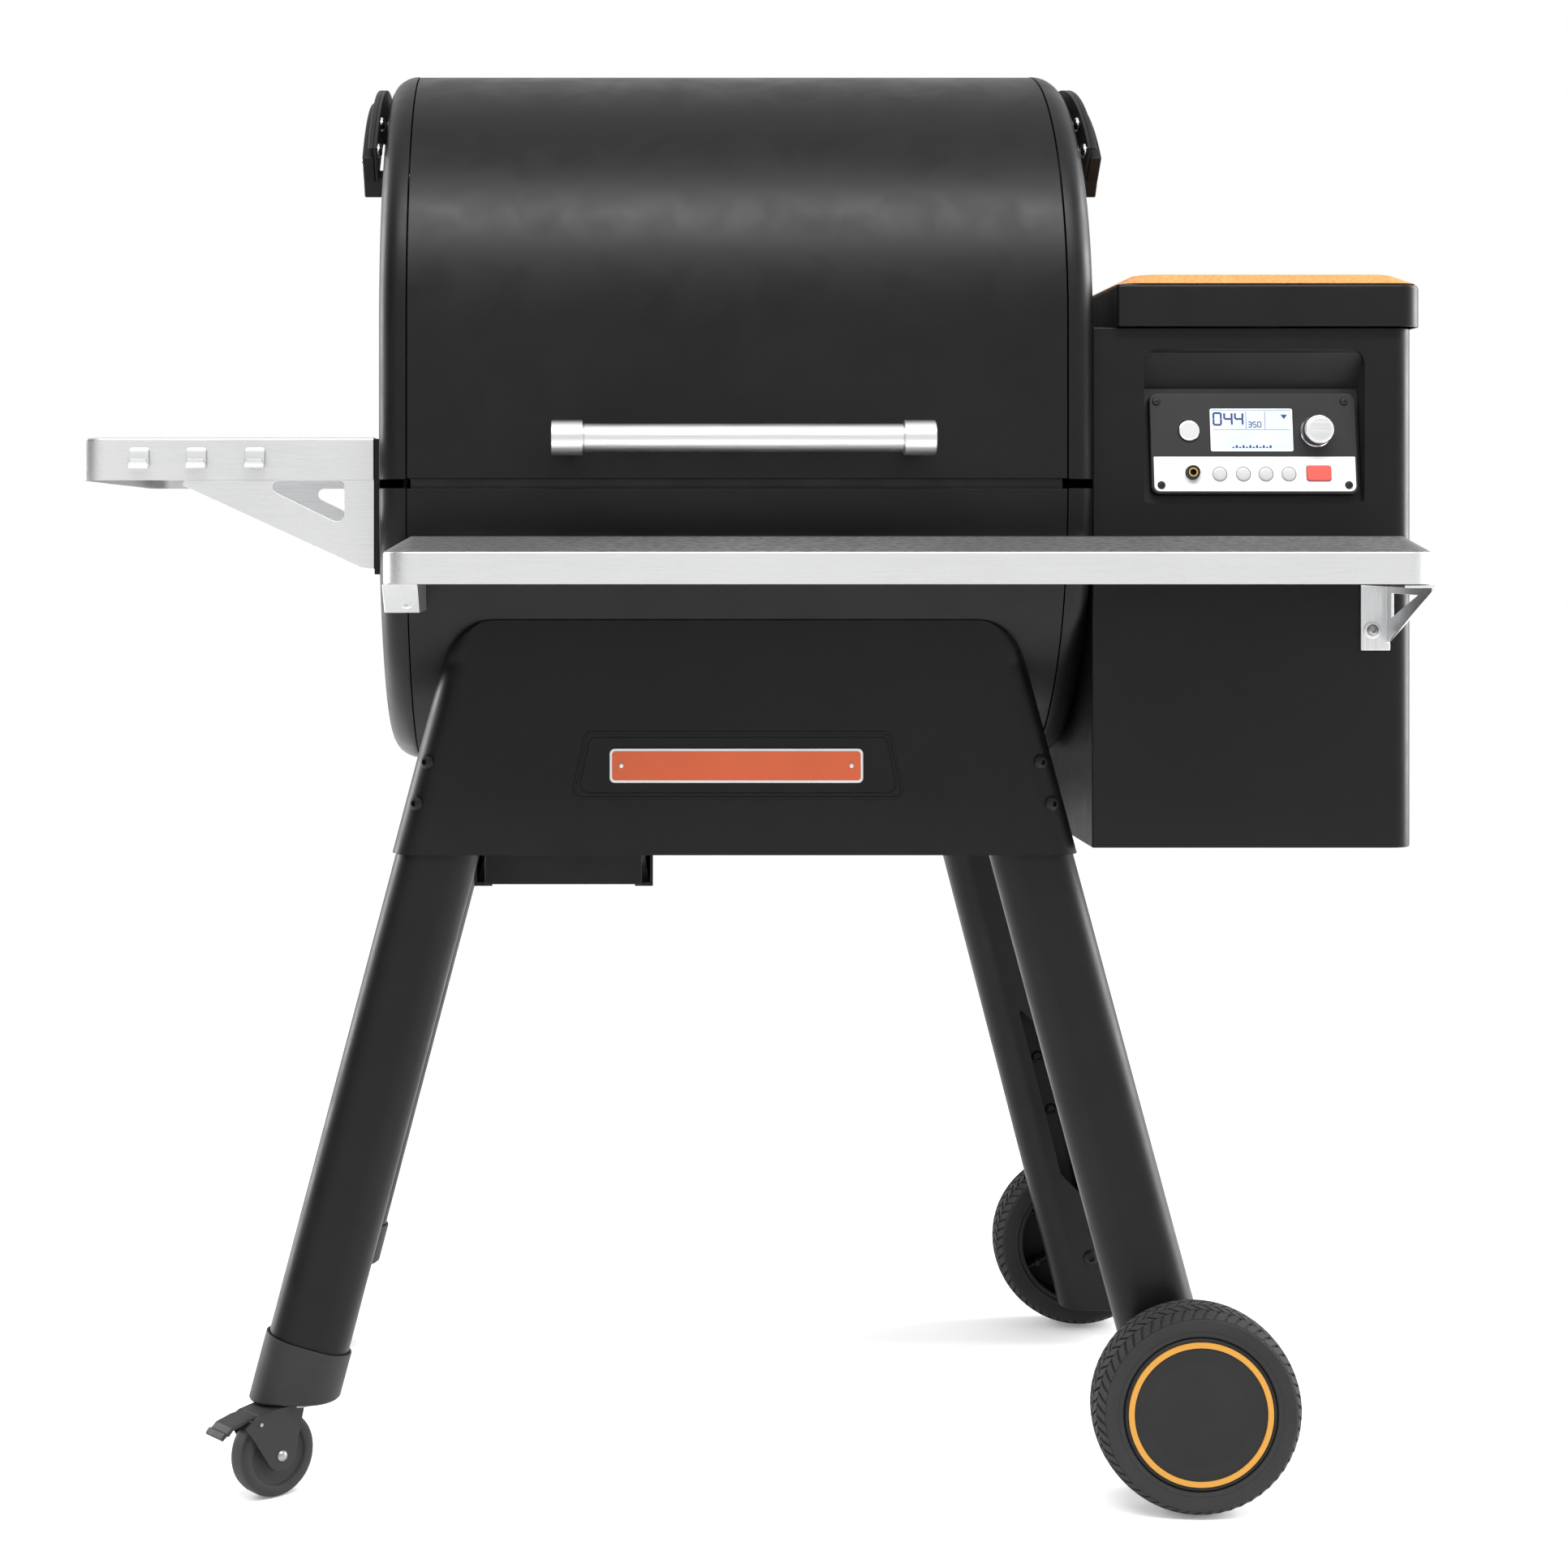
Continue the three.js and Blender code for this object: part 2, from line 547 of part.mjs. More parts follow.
function sideShelf() {
  const { left, right, half, low, high, corner } = SIDE_SHELF;
  const plan = (i) => roundedRect(left + i, right - i, -half + i, half - i, corner - i);
  const square = (i) => block(right - 50, right - i, -half + i, half - i, low, high - i);
  const outer = join(prismZ(plan(0), low, high, 4), square(0));
  const inner = join(prismZ(plan(THIN), low - 5, high - THIN, 4), square(THIN).translate([0, 0, -5]));
  const tray = cut(outer, inner);
  const gusset = polygon([[-502, low + 2], [-332, 812], [right, 811], [right, low + 2]]);
  const window = polygon([[-430, low], [-347.5, low], [-347.5, 849]]);
  const side = (y) => cut(prismY(gusset, y, y + THIN), prismY(window, y - 5, y + 5));
  const sides = [side(-half), side(half - THIN)];
  const flanges = [-half, half - 20].map((y) => block(right - THIN, right, y, y + 20, 811, low + 2));
  const hooks = HOOK_X.flatMap((x) => [
    block(x - 9, x + 9, -half - 2.5, -half + 1, 899, 920),
    block(x - 9, x + 9, -half - 12, -half - 1, 899, 901.5),
  ]);
  return join(tray, ...sides, ...flanges, ...hooks);
}

function sideShelfMount() {
  const x1 = -BARREL.end - GAP;
  return block(SIDE_SHELF.right + GAP, x1, -SIDE_SHELF.half, SIDE_SHELF.half, 806, 927);
}

// ---------------------------------------------------------------- legs and aprons
const legX = (z) => LEG.x505 + LEG.slopeX * (505 - z);
const legY = (z) => LEG.y560 + LEG.slopeY * (560 - z);

function oval(grow) {
  const s = new THREE.Shape();
  const [w, d] = [LEG.width / 2 + grow, LEG.depth / 2 + grow];
  const flat = w - d;
  s.absarc(flat, 0, d, -Math.PI / 2, Math.PI / 2);
  s.absarc(-flat, 0, d, Math.PI / 2, Math.PI * 1.5);
  return s;
}

// an oval prism that follows the front right leg's splay
function legPrism(grow, z0, z1) {
  const solid = prismZ(oval(grow), z0, z1, 5).translate([legX(0), -legY(0), 0]);
  return lean(solid, -LEG.slopeX, LEG.slopeY, 0);
}

function leg(bottom) {
  return cut(legPrism(0, bottom, LEG.top), legPrism(-LEG.wall, bottom - 10, LEG.top + 10));
}

function wheelLeg() {
  const middle = -legY(SLOT_MIDDLE);
  const slot = prismY(polygon(LEG_SLOT.map(([u, z]) => [legX(z) + u, z])), middle, middle + LEG.depth + 8);
  const axle = rod('y', WHEEL.axle, -WHEEL.y - 16, -legY(WHEEL.z) + 22, 16).translate([WHEEL.x, 0, WHEEL.z]);
  return join(cut(leg(LEG.foot), slot), axle);
}

function collar() {
  const tall = legPrism(COLLAR.wall + GAP, COLLAR.low, COLLAR.high + 20);
  const [inner, outer] = [legX(100) - 90, legX(100) + 90];
  const drop = 90 * LEG.slopeX;
  const rim = [[inner, COLLAR.high - drop], [outer, COLLAR.high + drop]];
  const topPlane = polygon([...rim, [outer, 300], [inner, 300]]);
  const mouth = legPrism(GAP, COLLAR.low + COLLAR.floor, 300);
  const stemHole = rod('z', CASTER.stem + GAP, 60, 100, 12).translate([-CASTER.x, -CASTER.y, 0]);
  return cut(tall, prismY(topPlane, -400, -100), mouth, stemHole);
}

function apron() {
  const slope = LEG.slopeX;
  const edge = (z, i) => APRON.outer - i - slope * (z - APRON.low);
  const outline = (i) => {
    const s = new THREE.Shape();
    s.moveTo(-edge(APRON.low - 5, i), APRON.low - 5);
    s.lineTo(edge(APRON.low - 5, i), APRON.low - 5);
    s.lineTo(edge(718, i), 718);
    s.bezierCurveTo(edge(745, i), 745, edge(766, i) - 14, APRON.high - i, APRON.flat, APRON.high - i);
    s.lineTo(-APRON.flat, APRON.high - i);
    s.bezierCurveTo(-edge(766, i) + 14, APRON.high - i, -edge(745, i), 745, -edge(718, i), 718);
    return s;
  };
  const pan = cut(prismY(outline(0), 0, APRON.wrap, 5), prismY(outline(APRON.sheet), APRON.sheet, 90, 5));
  const trimmed = pan.intersect(block(-FAR, FAR, -10, 90, APRON.low, 900));
  const placed = lean(trimmed, 0, LEG.slopeY, APRON.high).translate([0, -APRON.y, 0]);
  return largest(cut(placed, prismX(stadium(BARREL.r + GAP), -FAR, FAR)));
}

// ---------------------------------------------------------------- wheels and casters
function tyre() {
  const h = WHEEL.half;
  const side = [[66, h - 5], [81, h], [87.5, h - 5], [90, h - 12]];
  const p = [...side, ...side.map(([r, y]) => [r, -y]).reverse()];
  return turned('y', ring(p), WHEEL.segments);
}

function hub() {
  const p = [
    [0, -25], [56, -24.5], [65.7, -22], [65.7, 22], [61, 22], [61, -15],
    [17, -15], [17, 24], [WHEEL.bore, 24], [WHEEL.bore, -17], [0, -17],
  ];
  return turned('y', p, WHEEL.segments);
}

function casterFork() {
  const t = CASTER.trail;
  const cheek = polygon([
    [3, 79.4], [30, 79.4], [50, 76], [61, 70], [37, 30], [30, 25.5], [20, 25.5], [12, 34], [3, 60],
  ]);
  const w = CASTER.half + 1.5;
  const cheeks = [-w - 2.5, w].map((y) => prismY(cheek, y, y + 2.5));
  const crown = join(block(0, 22, -w - 2.5, w + 2.5, 76.8, 79.4), rod('z', 19, 74, 79.6, 16));
  const stem = rod('z', CASTER.stem, 78, 118, 12);
  const axle = rod('y', 4, -w - 5, w + 5, 10).translate([t, 0, CASTER.r]);
  const wheelRoom = rod('y', CASTER.r + 1, -w, w, 24).translate([t, 0, CASTER.r]);
  const frame = cut(join(...cheeks, crown), wheelRoom);
  return join(frame, stem, axle);
}

function casterWheel() {
  const { r, half, trail } = CASTER;
  const p = ring([
    [4 + GAP, -half], [14, -half], [16, -half + 3], [27, -half + 3], [r - 3, -half], [r, -half + 4],
    [r, half - 4], [r - 3, half], [27, half - 3], [16, half - 3], [14, half], [4 + GAP, half],
  ]);
  return turned('y', p, CASTER.segments).translate([trail, 0, r]);
}

function brakePedal() {
  const s = polygon([[46, 76.5], [60, 75], [75, 71], [86, 63], [84, 60.6], [73.5, 68], [59, 72], [46, 73.5]]);
  return prismY(s, -CASTER.half - 1, CASTER.half + 1);
}

// ---------------------------------------------------------------- under and behind
function greaseRack() {
  const { left, right, low, high } = GREASE;
  const top = high + 4;
  const roof = block(left - 11, right + 11, -110, 110, top, top + 3);
  const walls = [left - 11, right + 8].map((x) => block(x, x + 3, -110, 110, low - 4, top + 1));
  const ledges = [left - 11, right - 6].map((x) => block(x, x + 17, -110, 110, low - 4, low - GAP));
  const hangers = [left - 11, right + 8].map((x) => block(x, x + 3, -60, 60, top, 660));
  const hole = rod('z', DRAIN.r + GAP, 540, 600, 20).translate([DRAIN.x, 0, 0]);
  const barrel = prismX(stadium(BARREL.r + GAP), -FAR, FAR);
  return cut(join(roof, ...walls, ...ledges, ...hangers), hole, barrel);
}

function greaseBox() {
  const { left, right, front, back, low, high } = GREASE;
  const inside = block(left + 2, right - 2, front + 2, back - 2, low + 2, high + 5);
  return cut(block(left, right, front, back, low, high), inside);
}

function exhaustDuct() {
  const y = BARREL.r + GAP;
  const profile = (i) => polygon([
    [y - 30, DUCT.low - i * 3], [DUCT.back - i, DUCT.low - i * 3], [DUCT.back - i, DUCT.high - 40 - i * 0.5],
    [DUCT.back - 40 - i * 0.5, DUCT.high - i], [y - 30, DUCT.high - i],
  ]);
  const inside = prismX(profile(THIN), -DUCT.half + THIN, DUCT.half - THIN);
  const shell = cut(prismX(profile(0), -DUCT.half, DUCT.half), inside);
  return largest(cut(shell, prismX(stadium(y), -FAR, FAR)));
}

function powerInlet() {
  const flange = block(434, 486, HOPPER.back + GAP, HOPPER.back + 3, 594, 636);
  const core = block(439, 481, 205, HOPPER.back + 1, 599, 631);
  const socket = block(447, 473, 210, 240, 605, 625);
  return cut(join(flange, core), socket);
}

// ---------------------------------------------------------------- assembly
const grill = new THREE.Group();
grill.position.set(SHIFT.x, SHIFT.y, 0);

place(grill, 'lid_shell', barrelTube().intersect(lidRegion()), blackPaint());
for (const [label, side] of [['left', -1], ['right', 1]]) {
  place(grill, `lid_cap_${label}`, sided(endCap().intersect(lidRegion()), side), blackPaint());
  place(grill, `hinge_arm_${label}`, sided(hingeArm(), side), darkPaint());
  place(grill, `body_cap_${label}`, bodyCap(side), blackPaint());
}
place(grill, 'lid_handle', lidHandle(), stainless());
place(grill, 'body_shell', bodyShell(), blackPaint());
for (const g of GRATES) place(grill, g.name, grate(g), ironCoat());
place(grill, 'drip_tray', dripTray(), darkPaint());
place(grill, 'heat_baffle', heatBaffle(), darkPaint());
place(grill, 'fire_pot', firePot(), castIron());

place(grill, 'auger_tube', augerTube(), stainless());
place(grill, 'auger_screw', augerScrew(), stainless());
place(grill, 'auger_motor', augerMotor(), darkPaint());
place(grill, 'fan_housing', fanHousing(), plastic());
place(grill, 'fan_rotor', fanRotor(), plastic());

place(grill, 'hopper_casing', hopperCasing(), blackPaint());
place(grill, 'hopper_bin', cut(funnel(0), funnel(THIN)), stainless());
place(grill, 'hopper_lid', hopperLid(), blackPaint());
place(grill, 'cutting_board', cuttingBoard(), bamboo());

const panel = new THREE.Group();
panel.position.set(PANEL.x, PANEL.y, PANEL.z);
panel.rotation.x = rad(-PANEL.tilt);
grill.add(panel);
place(panel, 'controller_bezel', controllerBezel(), plastic());
place(panel, 'dial_knob', knob(), chrome());
place(panel, 'power_button', button(-56.3, 11, 9.6, 2.5), chrome());
MENU_X.forEach((x, i) => place(panel, `menu_button_${i + 1}`, button(x, -28.3, 6.4, 1.2), whitePlastic()));
place(panel, 'ignite_button', igniteButton(), redPlastic());
place(panel, 'probe_jack', probeJack(), plastic());

place(grill, 'front_shelf', frontShelf(), stainless());
place(grill, 'shelf_bracket_left', shelfBracketLeft(), stainless());
place(grill, 'shelf_bracket_right', shelfBracketRight(), stainless());
place(grill, 'side_shelf', sideShelf(), stainless());
place(grill, 'side_shelf_mount', sideShelfMount(), blackPaint());

for (const [label, back] of [['front', 1], ['rear', -1]]) {
  place(grill, `leg_${label}_left`, mirrored(leg(COLLAR.low + COLLAR.floor + GAP), -1, back), blackPaint());
  place(grill, `leg_${label}_right`, mirrored(wheelLeg(), 1, back), blackPaint());
  place(grill, `apron_${label}`, mirrored(apron(), 1, back), blackPaint());
  place(grill, `leg_collar_${label}`, mirrored(collar(), -1, back), plastic());

  const wheel = new THREE.Group();
  wheel.position.set(WHEEL.x, -WHEEL.y * back, WHEEL.z);
  grill.add(wheel);
  place(wheel, `tyre_${label}`, mirrored(tyre(), 1, back), rubber());
  place(wheel, `hub_${label}`, mirrored(hub(), 1, back), plastic());

  const caster = new THREE.Group();
  caster.position.set(CASTER.x, -CASTER.y * back, 0);
  caster.rotation.z = rad(CASTER_YAW[label]);
  grill.add(caster);
  place(caster, `caster_fork_${label}`, casterFork(), plastic());
  place(caster, `caster_wheel_${label}`, casterWheel(), rubber());
  place(caster, `brake_pedal_${label}`, brakePedal(), plastic());
}

place(grill, 'grease_rack', greaseRack(), darkPaint());
place(grill, 'grease_box', greaseBox(), darkPaint());
place(grill, 'exhaust_duct', exhaustDuct(), blackPaint());
place(grill, 'power_inlet', powerInlet(), plastic());

export default grill;
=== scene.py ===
"""Looks of the pellet smoker grill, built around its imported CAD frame.

Shapes are drawn in millimetres from the barrel's middle plane (X = 0, Y = 0) and the floor (Z = 0), with
-Y in front, and are put into the row frame, in metres, as each piece is made.
"""

import math

import bmesh
import bpy
from mathutils import Matrix, Vector


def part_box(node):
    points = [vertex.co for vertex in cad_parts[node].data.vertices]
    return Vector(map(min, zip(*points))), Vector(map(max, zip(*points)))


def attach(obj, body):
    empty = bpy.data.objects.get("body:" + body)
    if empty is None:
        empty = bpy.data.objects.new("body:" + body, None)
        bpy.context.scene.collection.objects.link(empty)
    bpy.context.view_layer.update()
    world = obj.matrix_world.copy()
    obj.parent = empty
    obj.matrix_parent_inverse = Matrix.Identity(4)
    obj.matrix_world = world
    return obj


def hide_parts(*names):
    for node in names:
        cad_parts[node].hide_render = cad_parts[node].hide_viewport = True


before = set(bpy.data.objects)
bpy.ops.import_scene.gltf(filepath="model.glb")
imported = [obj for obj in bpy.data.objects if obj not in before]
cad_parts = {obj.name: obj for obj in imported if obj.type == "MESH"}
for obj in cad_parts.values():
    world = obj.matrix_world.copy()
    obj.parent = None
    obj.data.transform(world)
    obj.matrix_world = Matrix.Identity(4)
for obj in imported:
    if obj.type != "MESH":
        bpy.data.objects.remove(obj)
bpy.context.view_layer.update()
MM = 0.001

cap_low, cap_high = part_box("body_cap_left")
barrel_x = (cap_low.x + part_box("body_cap_right")[1].x) / 2
barrel_y = round((cap_low.y + cap_high.y) / 2, 3)
TO_ROW = Matrix.Translation((barrel_x, barrel_y, 0)) @ Matrix.Scale(MM, 4)
TO_MM = TO_ROW.inverted()


def box_mm(node):
    """A CAD node's lowest and highest corners in the drawing's millimetres."""
    low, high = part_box(node)
    return TO_MM @ low, TO_MM @ high


# ---------------------------------------------------------------- materials
class Nodes:
    """A material's node tree, with short calls for the nodes used here."""

    def __init__(self, name):
        self.material = bpy.data.materials.new(name)
        self.material.use_nodes = True
        self.tree = self.material.node_tree
        self.shader = self.tree.nodes["Principled BSDF"]

    def node(self, kind, **values):
        made = self.tree.nodes.new(kind)
        for key, value in values.items():
            setattr(made, key, value)
        return made

    def link(self, output, socket):
        self.tree.links.new(output, socket)

    def place(self, stretch=(1, 1, 1)):
        """Object coordinates, stretched along each axis."""
        coordinates = self.node("ShaderNodeTexCoord")
        mapping = self.node("ShaderNodeMapping")
        mapping.inputs["Scale"].default_value = stretch
        self.link(coordinates.outputs["Object"], mapping.inputs["Vector"])
        return mapping.outputs["Vector"]

    def noise(self, scale, detail=3.0, stretch=(1, 1, 1), distortion=0.0):
        made = self.node("ShaderNodeTexNoise")
        made.inputs["Scale"].default_value = scale
        made.inputs["Detail"].default_value = detail
        made.inputs["Distortion"].default_value = distortion
        self.link(self.place(stretch), made.inputs["Vector"])
        return made.outputs["Fac"]

    def span(self, value, low, high, start=0.3, end=0.7):
        """Maps start..end of a value onto low..high."""
        made = self.node("ShaderNodeMapRange")
        for key, number in (("From Min", start), ("From Max", end), ("To Min", low), ("To Max", high)):
            made.inputs[key].default_value = number
        self.link(value, made.inputs["Value"])
        return made.outputs["Result"]

    def mix(self, amount, first, second):
        """Blends two colours by a 0..1 value. Each colour is a tuple or an output."""
        made = self.node("ShaderNodeMix", data_type="RGBA")
        self.link(amount, made.inputs["Factor"])
        for key, colour in ((6, first), (7, second)):
            if isinstance(colour, tuple):
                made.inputs[key].default_value = (*colour, 1)
            else:
                self.link(colour, made.inputs[key])
        return made.outputs[2]

    def bump(self, height, strength, distance):
        made = self.node("ShaderNodeBump")
        made.inputs["Strength"].default_value = strength
        made.inputs["Distance"].default_value = distance
        self.link(height, made.inputs["Height"])
        return made.outputs["Normal"]

    def edges(self):
        """1 on convex edges and 0 on flat faces."""
        geometry = self.node("ShaderNodeNewGeometry")
        return self.span(geometry.outputs["Pointiness"], 0, 1, 0.53, 0.62)

    def set(self, **values):
        for key, value in values.items():
            socket = self.shader.inputs[key.replace("_", " ")]
            if isinstance(value, bpy.types.NodeSocket):
                self.link(value, socket)
            elif isinstance(value, tuple):
                socket.default_value = (*value, 1)
            else:
                socket.default_value = value
        return self.material


def scaled(colour, factor):
    return tuple(min(1.0, c * factor) for c in colour)


def coated(name, colour, rough, grain, depth, specular=0.4, worn=0.0, cloud=0.25):
    """Paint, plastic or rubber: soft clouds of tone, an uneven sheen and a fine grain."""
    n = Nodes(name)
    tone = n.mix(n.span(n.noise(7, 4), 0, 1), scaled(colour, 1 - cloud), scaled(colour, 1 + cloud))
    if worn:
        scuff = n.node("ShaderNodeMath", operation="MULTIPLY")
        n.link(n.edges(), scuff.inputs[0])
        n.link(n.span(n.noise(60, 4), 0, worn, 0.42, 0.66), scuff.inputs[1])
        tone = n.mix(scuff.outputs[0], tone, scaled(colour, 4))
    sheen = n.span(n.noise(24, 5, distortion=0.6), rough - 0.05, rough + 0.06)
    return n.set(
        Base_Color=tone,
        Roughness=sheen,
        Specular_IOR_Level=specular,
        Normal=n.bump(n.noise(grain, 2), depth, 0.0004),
    )


def brushed(name, colour, rough, stretch, depth=0.12, cloud=0.08):
    """Metal brushed along the axis where stretch is small."""
    n = Nodes(name)
    lines = n.noise(90, 5, stretch)
    patch = n.mix(n.span(n.noise(5, 3), 0, 1), scaled(colour, 1 - cloud), scaled(colour, 1 + cloud / 2))
    tone = n.mix(n.span(lines, 0, 1), patch, scaled(colour, 1 - 2 * cloud))
    return n.set(
        Base_Color=tone,
        Metallic=1.0,
        Roughness=n.span(lines, rough - 0.06, rough + 0.1),
        Normal=n.bump(lines, depth, 0.0002),
    )


def bamboo():
    """Glued bamboo strips along Y, with long fibres and darker knots."""
    n = Nodes("bamboo")
    strips = n.node("ShaderNodeTexVoronoi", voronoi_dimensions="1D", feature="F1")
    split = n.node("ShaderNodeSeparateXYZ")
    n.link(n.place(), split.inputs["Vector"])
    n.link(split.outputs["X"], strips.inputs["W"])
    strips.inputs["Scale"].default_value = 62
    fibre = n.noise(40, 8, (9, 0.5, 9), 0.25)
    light, dark = (0.55, 0.25, 0.068), (0.4, 0.155, 0.035)
    strip_tone = n.mix(n.span(strips.outputs["Color"], 0, 0.75, 0, 1), light, (0.48, 0.205, 0.052))
    tone = n.mix(n.span(fibre, 0, 0.8, 0.4, 0.66), strip_tone, dark)
    knots = n.noise(9, 2, (6, 1.4, 6), 1.2)
    tone = n.mix(n.span(knots, 0, 0.45, 0.66, 0.74), tone, (0.34, 0.12, 0.025))
    return n.set(
        Base_Color=tone,
        Roughness=n.span(fibre, 0.42, 0.6),
        Specular_IOR_Level=0.35,
        Normal=n.bump(fibre, 0.25, 0.0004),
    )


def glowing_screen():
    """A lit display face: bluish white, its tone varying a little at random."""
    n = Nodes("display")
    n.set(
        Base_Color=n.mix(n.span(n.noise(30, 2), 0, 1), (0.42, 0.49, 0.64), (0.5, 0.56, 0.68)),
        Roughness=n.span(n.noise(200, 2), 0.15, 0.22),
        Emission_Strength=0.12,
    )
    n.shader.inputs["Emission Color"].default_value = (0.8, 0.88, 1, 1)
    return n.material


PAINT = coated("black_paint", (0.0032, 0.0032, 0.0033), 0.4, 1500, 0.1, specular=0.2, worn=0.1)
PAINT_DARK = coated("dark_paint", (0.004, 0.004, 0.004), 0.52, 1200, 0.2, specular=0.24, worn=0.14)
PLASTIC = coated("dark_plastic", (0.016, 0.016, 0.0165), 0.55, 2200, 0.25, specular=0.3, worn=0.06)
PANEL_GREY = coated("panel_grey", (0.011, 0.0112, 0.012), 0.5, 2600, 0.22, specular=0.35)
HUB_GREY = coated("hub_grey", (0.011, 0.011, 0.0113), 0.55, 2200, 0.2, specular=0.2, worn=0.06)
TYRE = coated("tyre", (0.02, 0.02, 0.0205), 0.78, 900, 0.45, specular=0.25, worn=0.12)
CASTER_RUBBER = coated("caster_rubber", (0.022, 0.022, 0.023), 0.6, 1300, 0.3, specular=0.28)
WHITE = coated("white_plastic", (0.7, 0.7, 0.7), 0.38, 2500, 0.08, cloud=0.03)
# The menu keys are white plastic, coloured grey here: painted shade.
KEY_WHITE_PAINTED_SHADE = coated("key_white_painted_shade", (0.46, 0.46, 0.46), 0.42, 2500, 0.08, cloud=0.03)
RED = coated("red_plastic", (0.66, 0.085, 0.07), 0.36, 2500, 0.08, cloud=0.04)
BADGE_RED = coated("badge_orange", (0.49, 0.085, 0.025), 0.4, 1800, 0.15, cloud=0.1)
RING = coated("ring_orange", (0.46, 0.215, 0.023), 0.42, 1500, 0.12, cloud=0.06)
STEEL_X = brushed("stainless_x", (0.68, 0.684, 0.69), 0.34, (0.25, 9, 9))
STEEL_Y = brushed("stainless_y", (0.68, 0.684, 0.69), 0.34, (9, 0.25, 9))
STEEL_Z = brushed("stainless_z", (0.67, 0.674, 0.68), 0.36, (9, 9, 0.25))
# Darker, rougher steel for the front shelf's upward faces: its dark tone is a painted reflection of the black
# barrel above.
STEEL_TOP_PAINTED_REFLECTION = brushed("stainless_top_painted_reflection", (0.3, 0.3, 0.305), 0.44, (1.5, 7, 7), 0.4, cloud=0.3)
CHROME = brushed("chrome", (0.9, 0.9, 0.91), 0.13, (3, 3, 3), 0.03, cloud=0.03)
ALLOY = brushed("motor_alloy", (0.32, 0.32, 0.33), 0.42, (5, 5, 5), 0.2)
GOLD = brushed("jack_gold", (0.72, 0.47, 0.16), 0.22, (3, 3, 3), 0.05)
ENAMEL = coated("grate_enamel", (0.012, 0.012, 0.013), 0.32, 700, 0.35, specular=0.5, worn=0.2)
IRON = coated("cast_iron", (0.032, 0.027, 0.024), 0.82, 500, 0.8, specular=0.3, worn=0.2, cloud=0.4)
BAMBOO = bamboo()
SCREEN = glowing_screen()
INK = coated("display_ink", (0.02, 0.035, 0.12), 0.5, 2000, 0.05, cloud=0.1)
SOCKET = coated("socket_black", (0.004, 0.004, 0.004), 0.5, 1500, 0.1)


# ---------------------------------------------------------------- making pieces
def made(name, bm, material, body, stands_for=(), bevel=0.0, steps=2, angle=32, solid=0.0, matrix=None):
    """A piece from a bmesh in millimetres, with softened edges and smooth faces, riding on its body.

    stands_for names the CAD nodes that it replaces. bevel is the edges' width and solid an open sheet's
    thickness, both in millimetres.
    """
    if matrix is not None:
        bm.transform(matrix)
    bmesh.ops.remove_doubles(bm, verts=bm.verts, dist=0.002)
    bmesh.ops.recalc_face_normals(bm, faces=bm.faces)
    if solid:
        turn_outward(bm)
    bm.transform(TO_ROW)
    mesh = bpy.data.meshes.new(name)
    bm.to_mesh(mesh)
    bm.free()
    piece = bpy.data.objects.new(name, mesh)
    bpy.context.scene.collection.objects.link(piece)
    mesh.materials.append(material)
    if solid:
        thick = piece.modifiers.new("sheet", "SOLIDIFY")
        thick.thickness = solid * MM
        thick.offset = -1
        thick.use_even_offset = True
    soften(piece, bevel, steps, angle)
    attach(piece, body)
    if stands_for:
        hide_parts(*stands_for)
    return piece


def turn_outward(bm):
    """Turns an open sheet's faces away from its middle, so that its thickness goes inward."""
    middle = sum((v.co for v in bm.verts), Vector()) / len(bm.verts)
    facing_out = sum(f.normal.dot(f.calc_center_median() - middle) * f.calc_area() for f in bm.faces)
    if facing_out < 0:
        bmesh.ops.reverse_faces(bm, faces=bm.faces)


def bake_modifiers(piece):
    """Puts what the modifiers make into the piece's own mesh."""
    if not piece.modifiers:
        return
    graph = bpy.context.evaluated_depsgraph_get()
    shaped = bpy.data.meshes.new_from_object(piece.evaluated_get(graph))
    piece.modifiers.clear()
    bm = bmesh.new()
    bm.from_mesh(shaped)
    bmesh.ops.recalc_face_normals(bm, faces=bm.faces)
    bm.to_mesh(shaped)
    bm.free()
    piece.data = shaped


def shade(piece, angle):
    """Smooth faces, sharp where they meet at more than the angle, and flat faces kept flat."""
    mesh = piece.data
    mesh.polygons.foreach_set("use_smooth", [True] * len(mesh.polygons))
    mesh.set_sharp_from_angle(angle=math.radians(angle))
    even = piece.modifiers.new("even", "WEIGHTED_NORMAL")
    even.keep_sharp = True
    even.weight = 80


def joined(name, bms, material, body, **options):
    """One piece from several bmeshes."""
    whole = bmesh.new()
    for bm in bms:
        piece = bpy.data.meshes.new("part")
        bmesh.ops.recalc_face_normals(bm, faces=bm.faces)
        bm.to_mesh(piece)
        bm.free()
        whole.from_mesh(piece)
        bpy.data.meshes.remove(piece)
    return made(name, whole, material, body, **options)


def cut(piece, *tools, keep=False):
    """Takes each tool, a bmesh in millimetres, away from the piece, or keeps only what is inside it."""
    for tool in tools:
        bmesh.ops.recalc_face_normals(tool, faces=tool.faces)
        tool.transform(TO_ROW)
        mesh = bpy.data.meshes.new("tool")
        tool.to_mesh(mesh)
        tool.free()
        cutter = bpy.data.objects.new("tool", mesh)
        bpy.context.scene.collection.objects.link(cutter)
        step = piece.modifiers.new("cut", "BOOLEAN")
        step.operation = "INTERSECT" if keep else "DIFFERENCE"
        step.solver = "EXACT"
        step.object = cutter
        normals = piece.modifiers.get("even")
        if normals:
            piece.modifiers.remove(normals)
        bake_modifiers(piece)
        bpy.data.objects.remove(cutter)
        bpy.data.meshes.remove(mesh)


def soften(piece, bevel, steps=2, angle=32):
    """Rounds a piece's sharp edges, then bakes and shades it."""
    if bevel:
        soft = piece.modifiers.new("soft", "BEVEL")
        soft.width = bevel * MM
        soft.segments = steps
        soft.limit_method = "ANGLE"
        soft.angle_limit = math.radians(angle)
    bake_modifiers(piece)
    shade(piece, angle + 12)


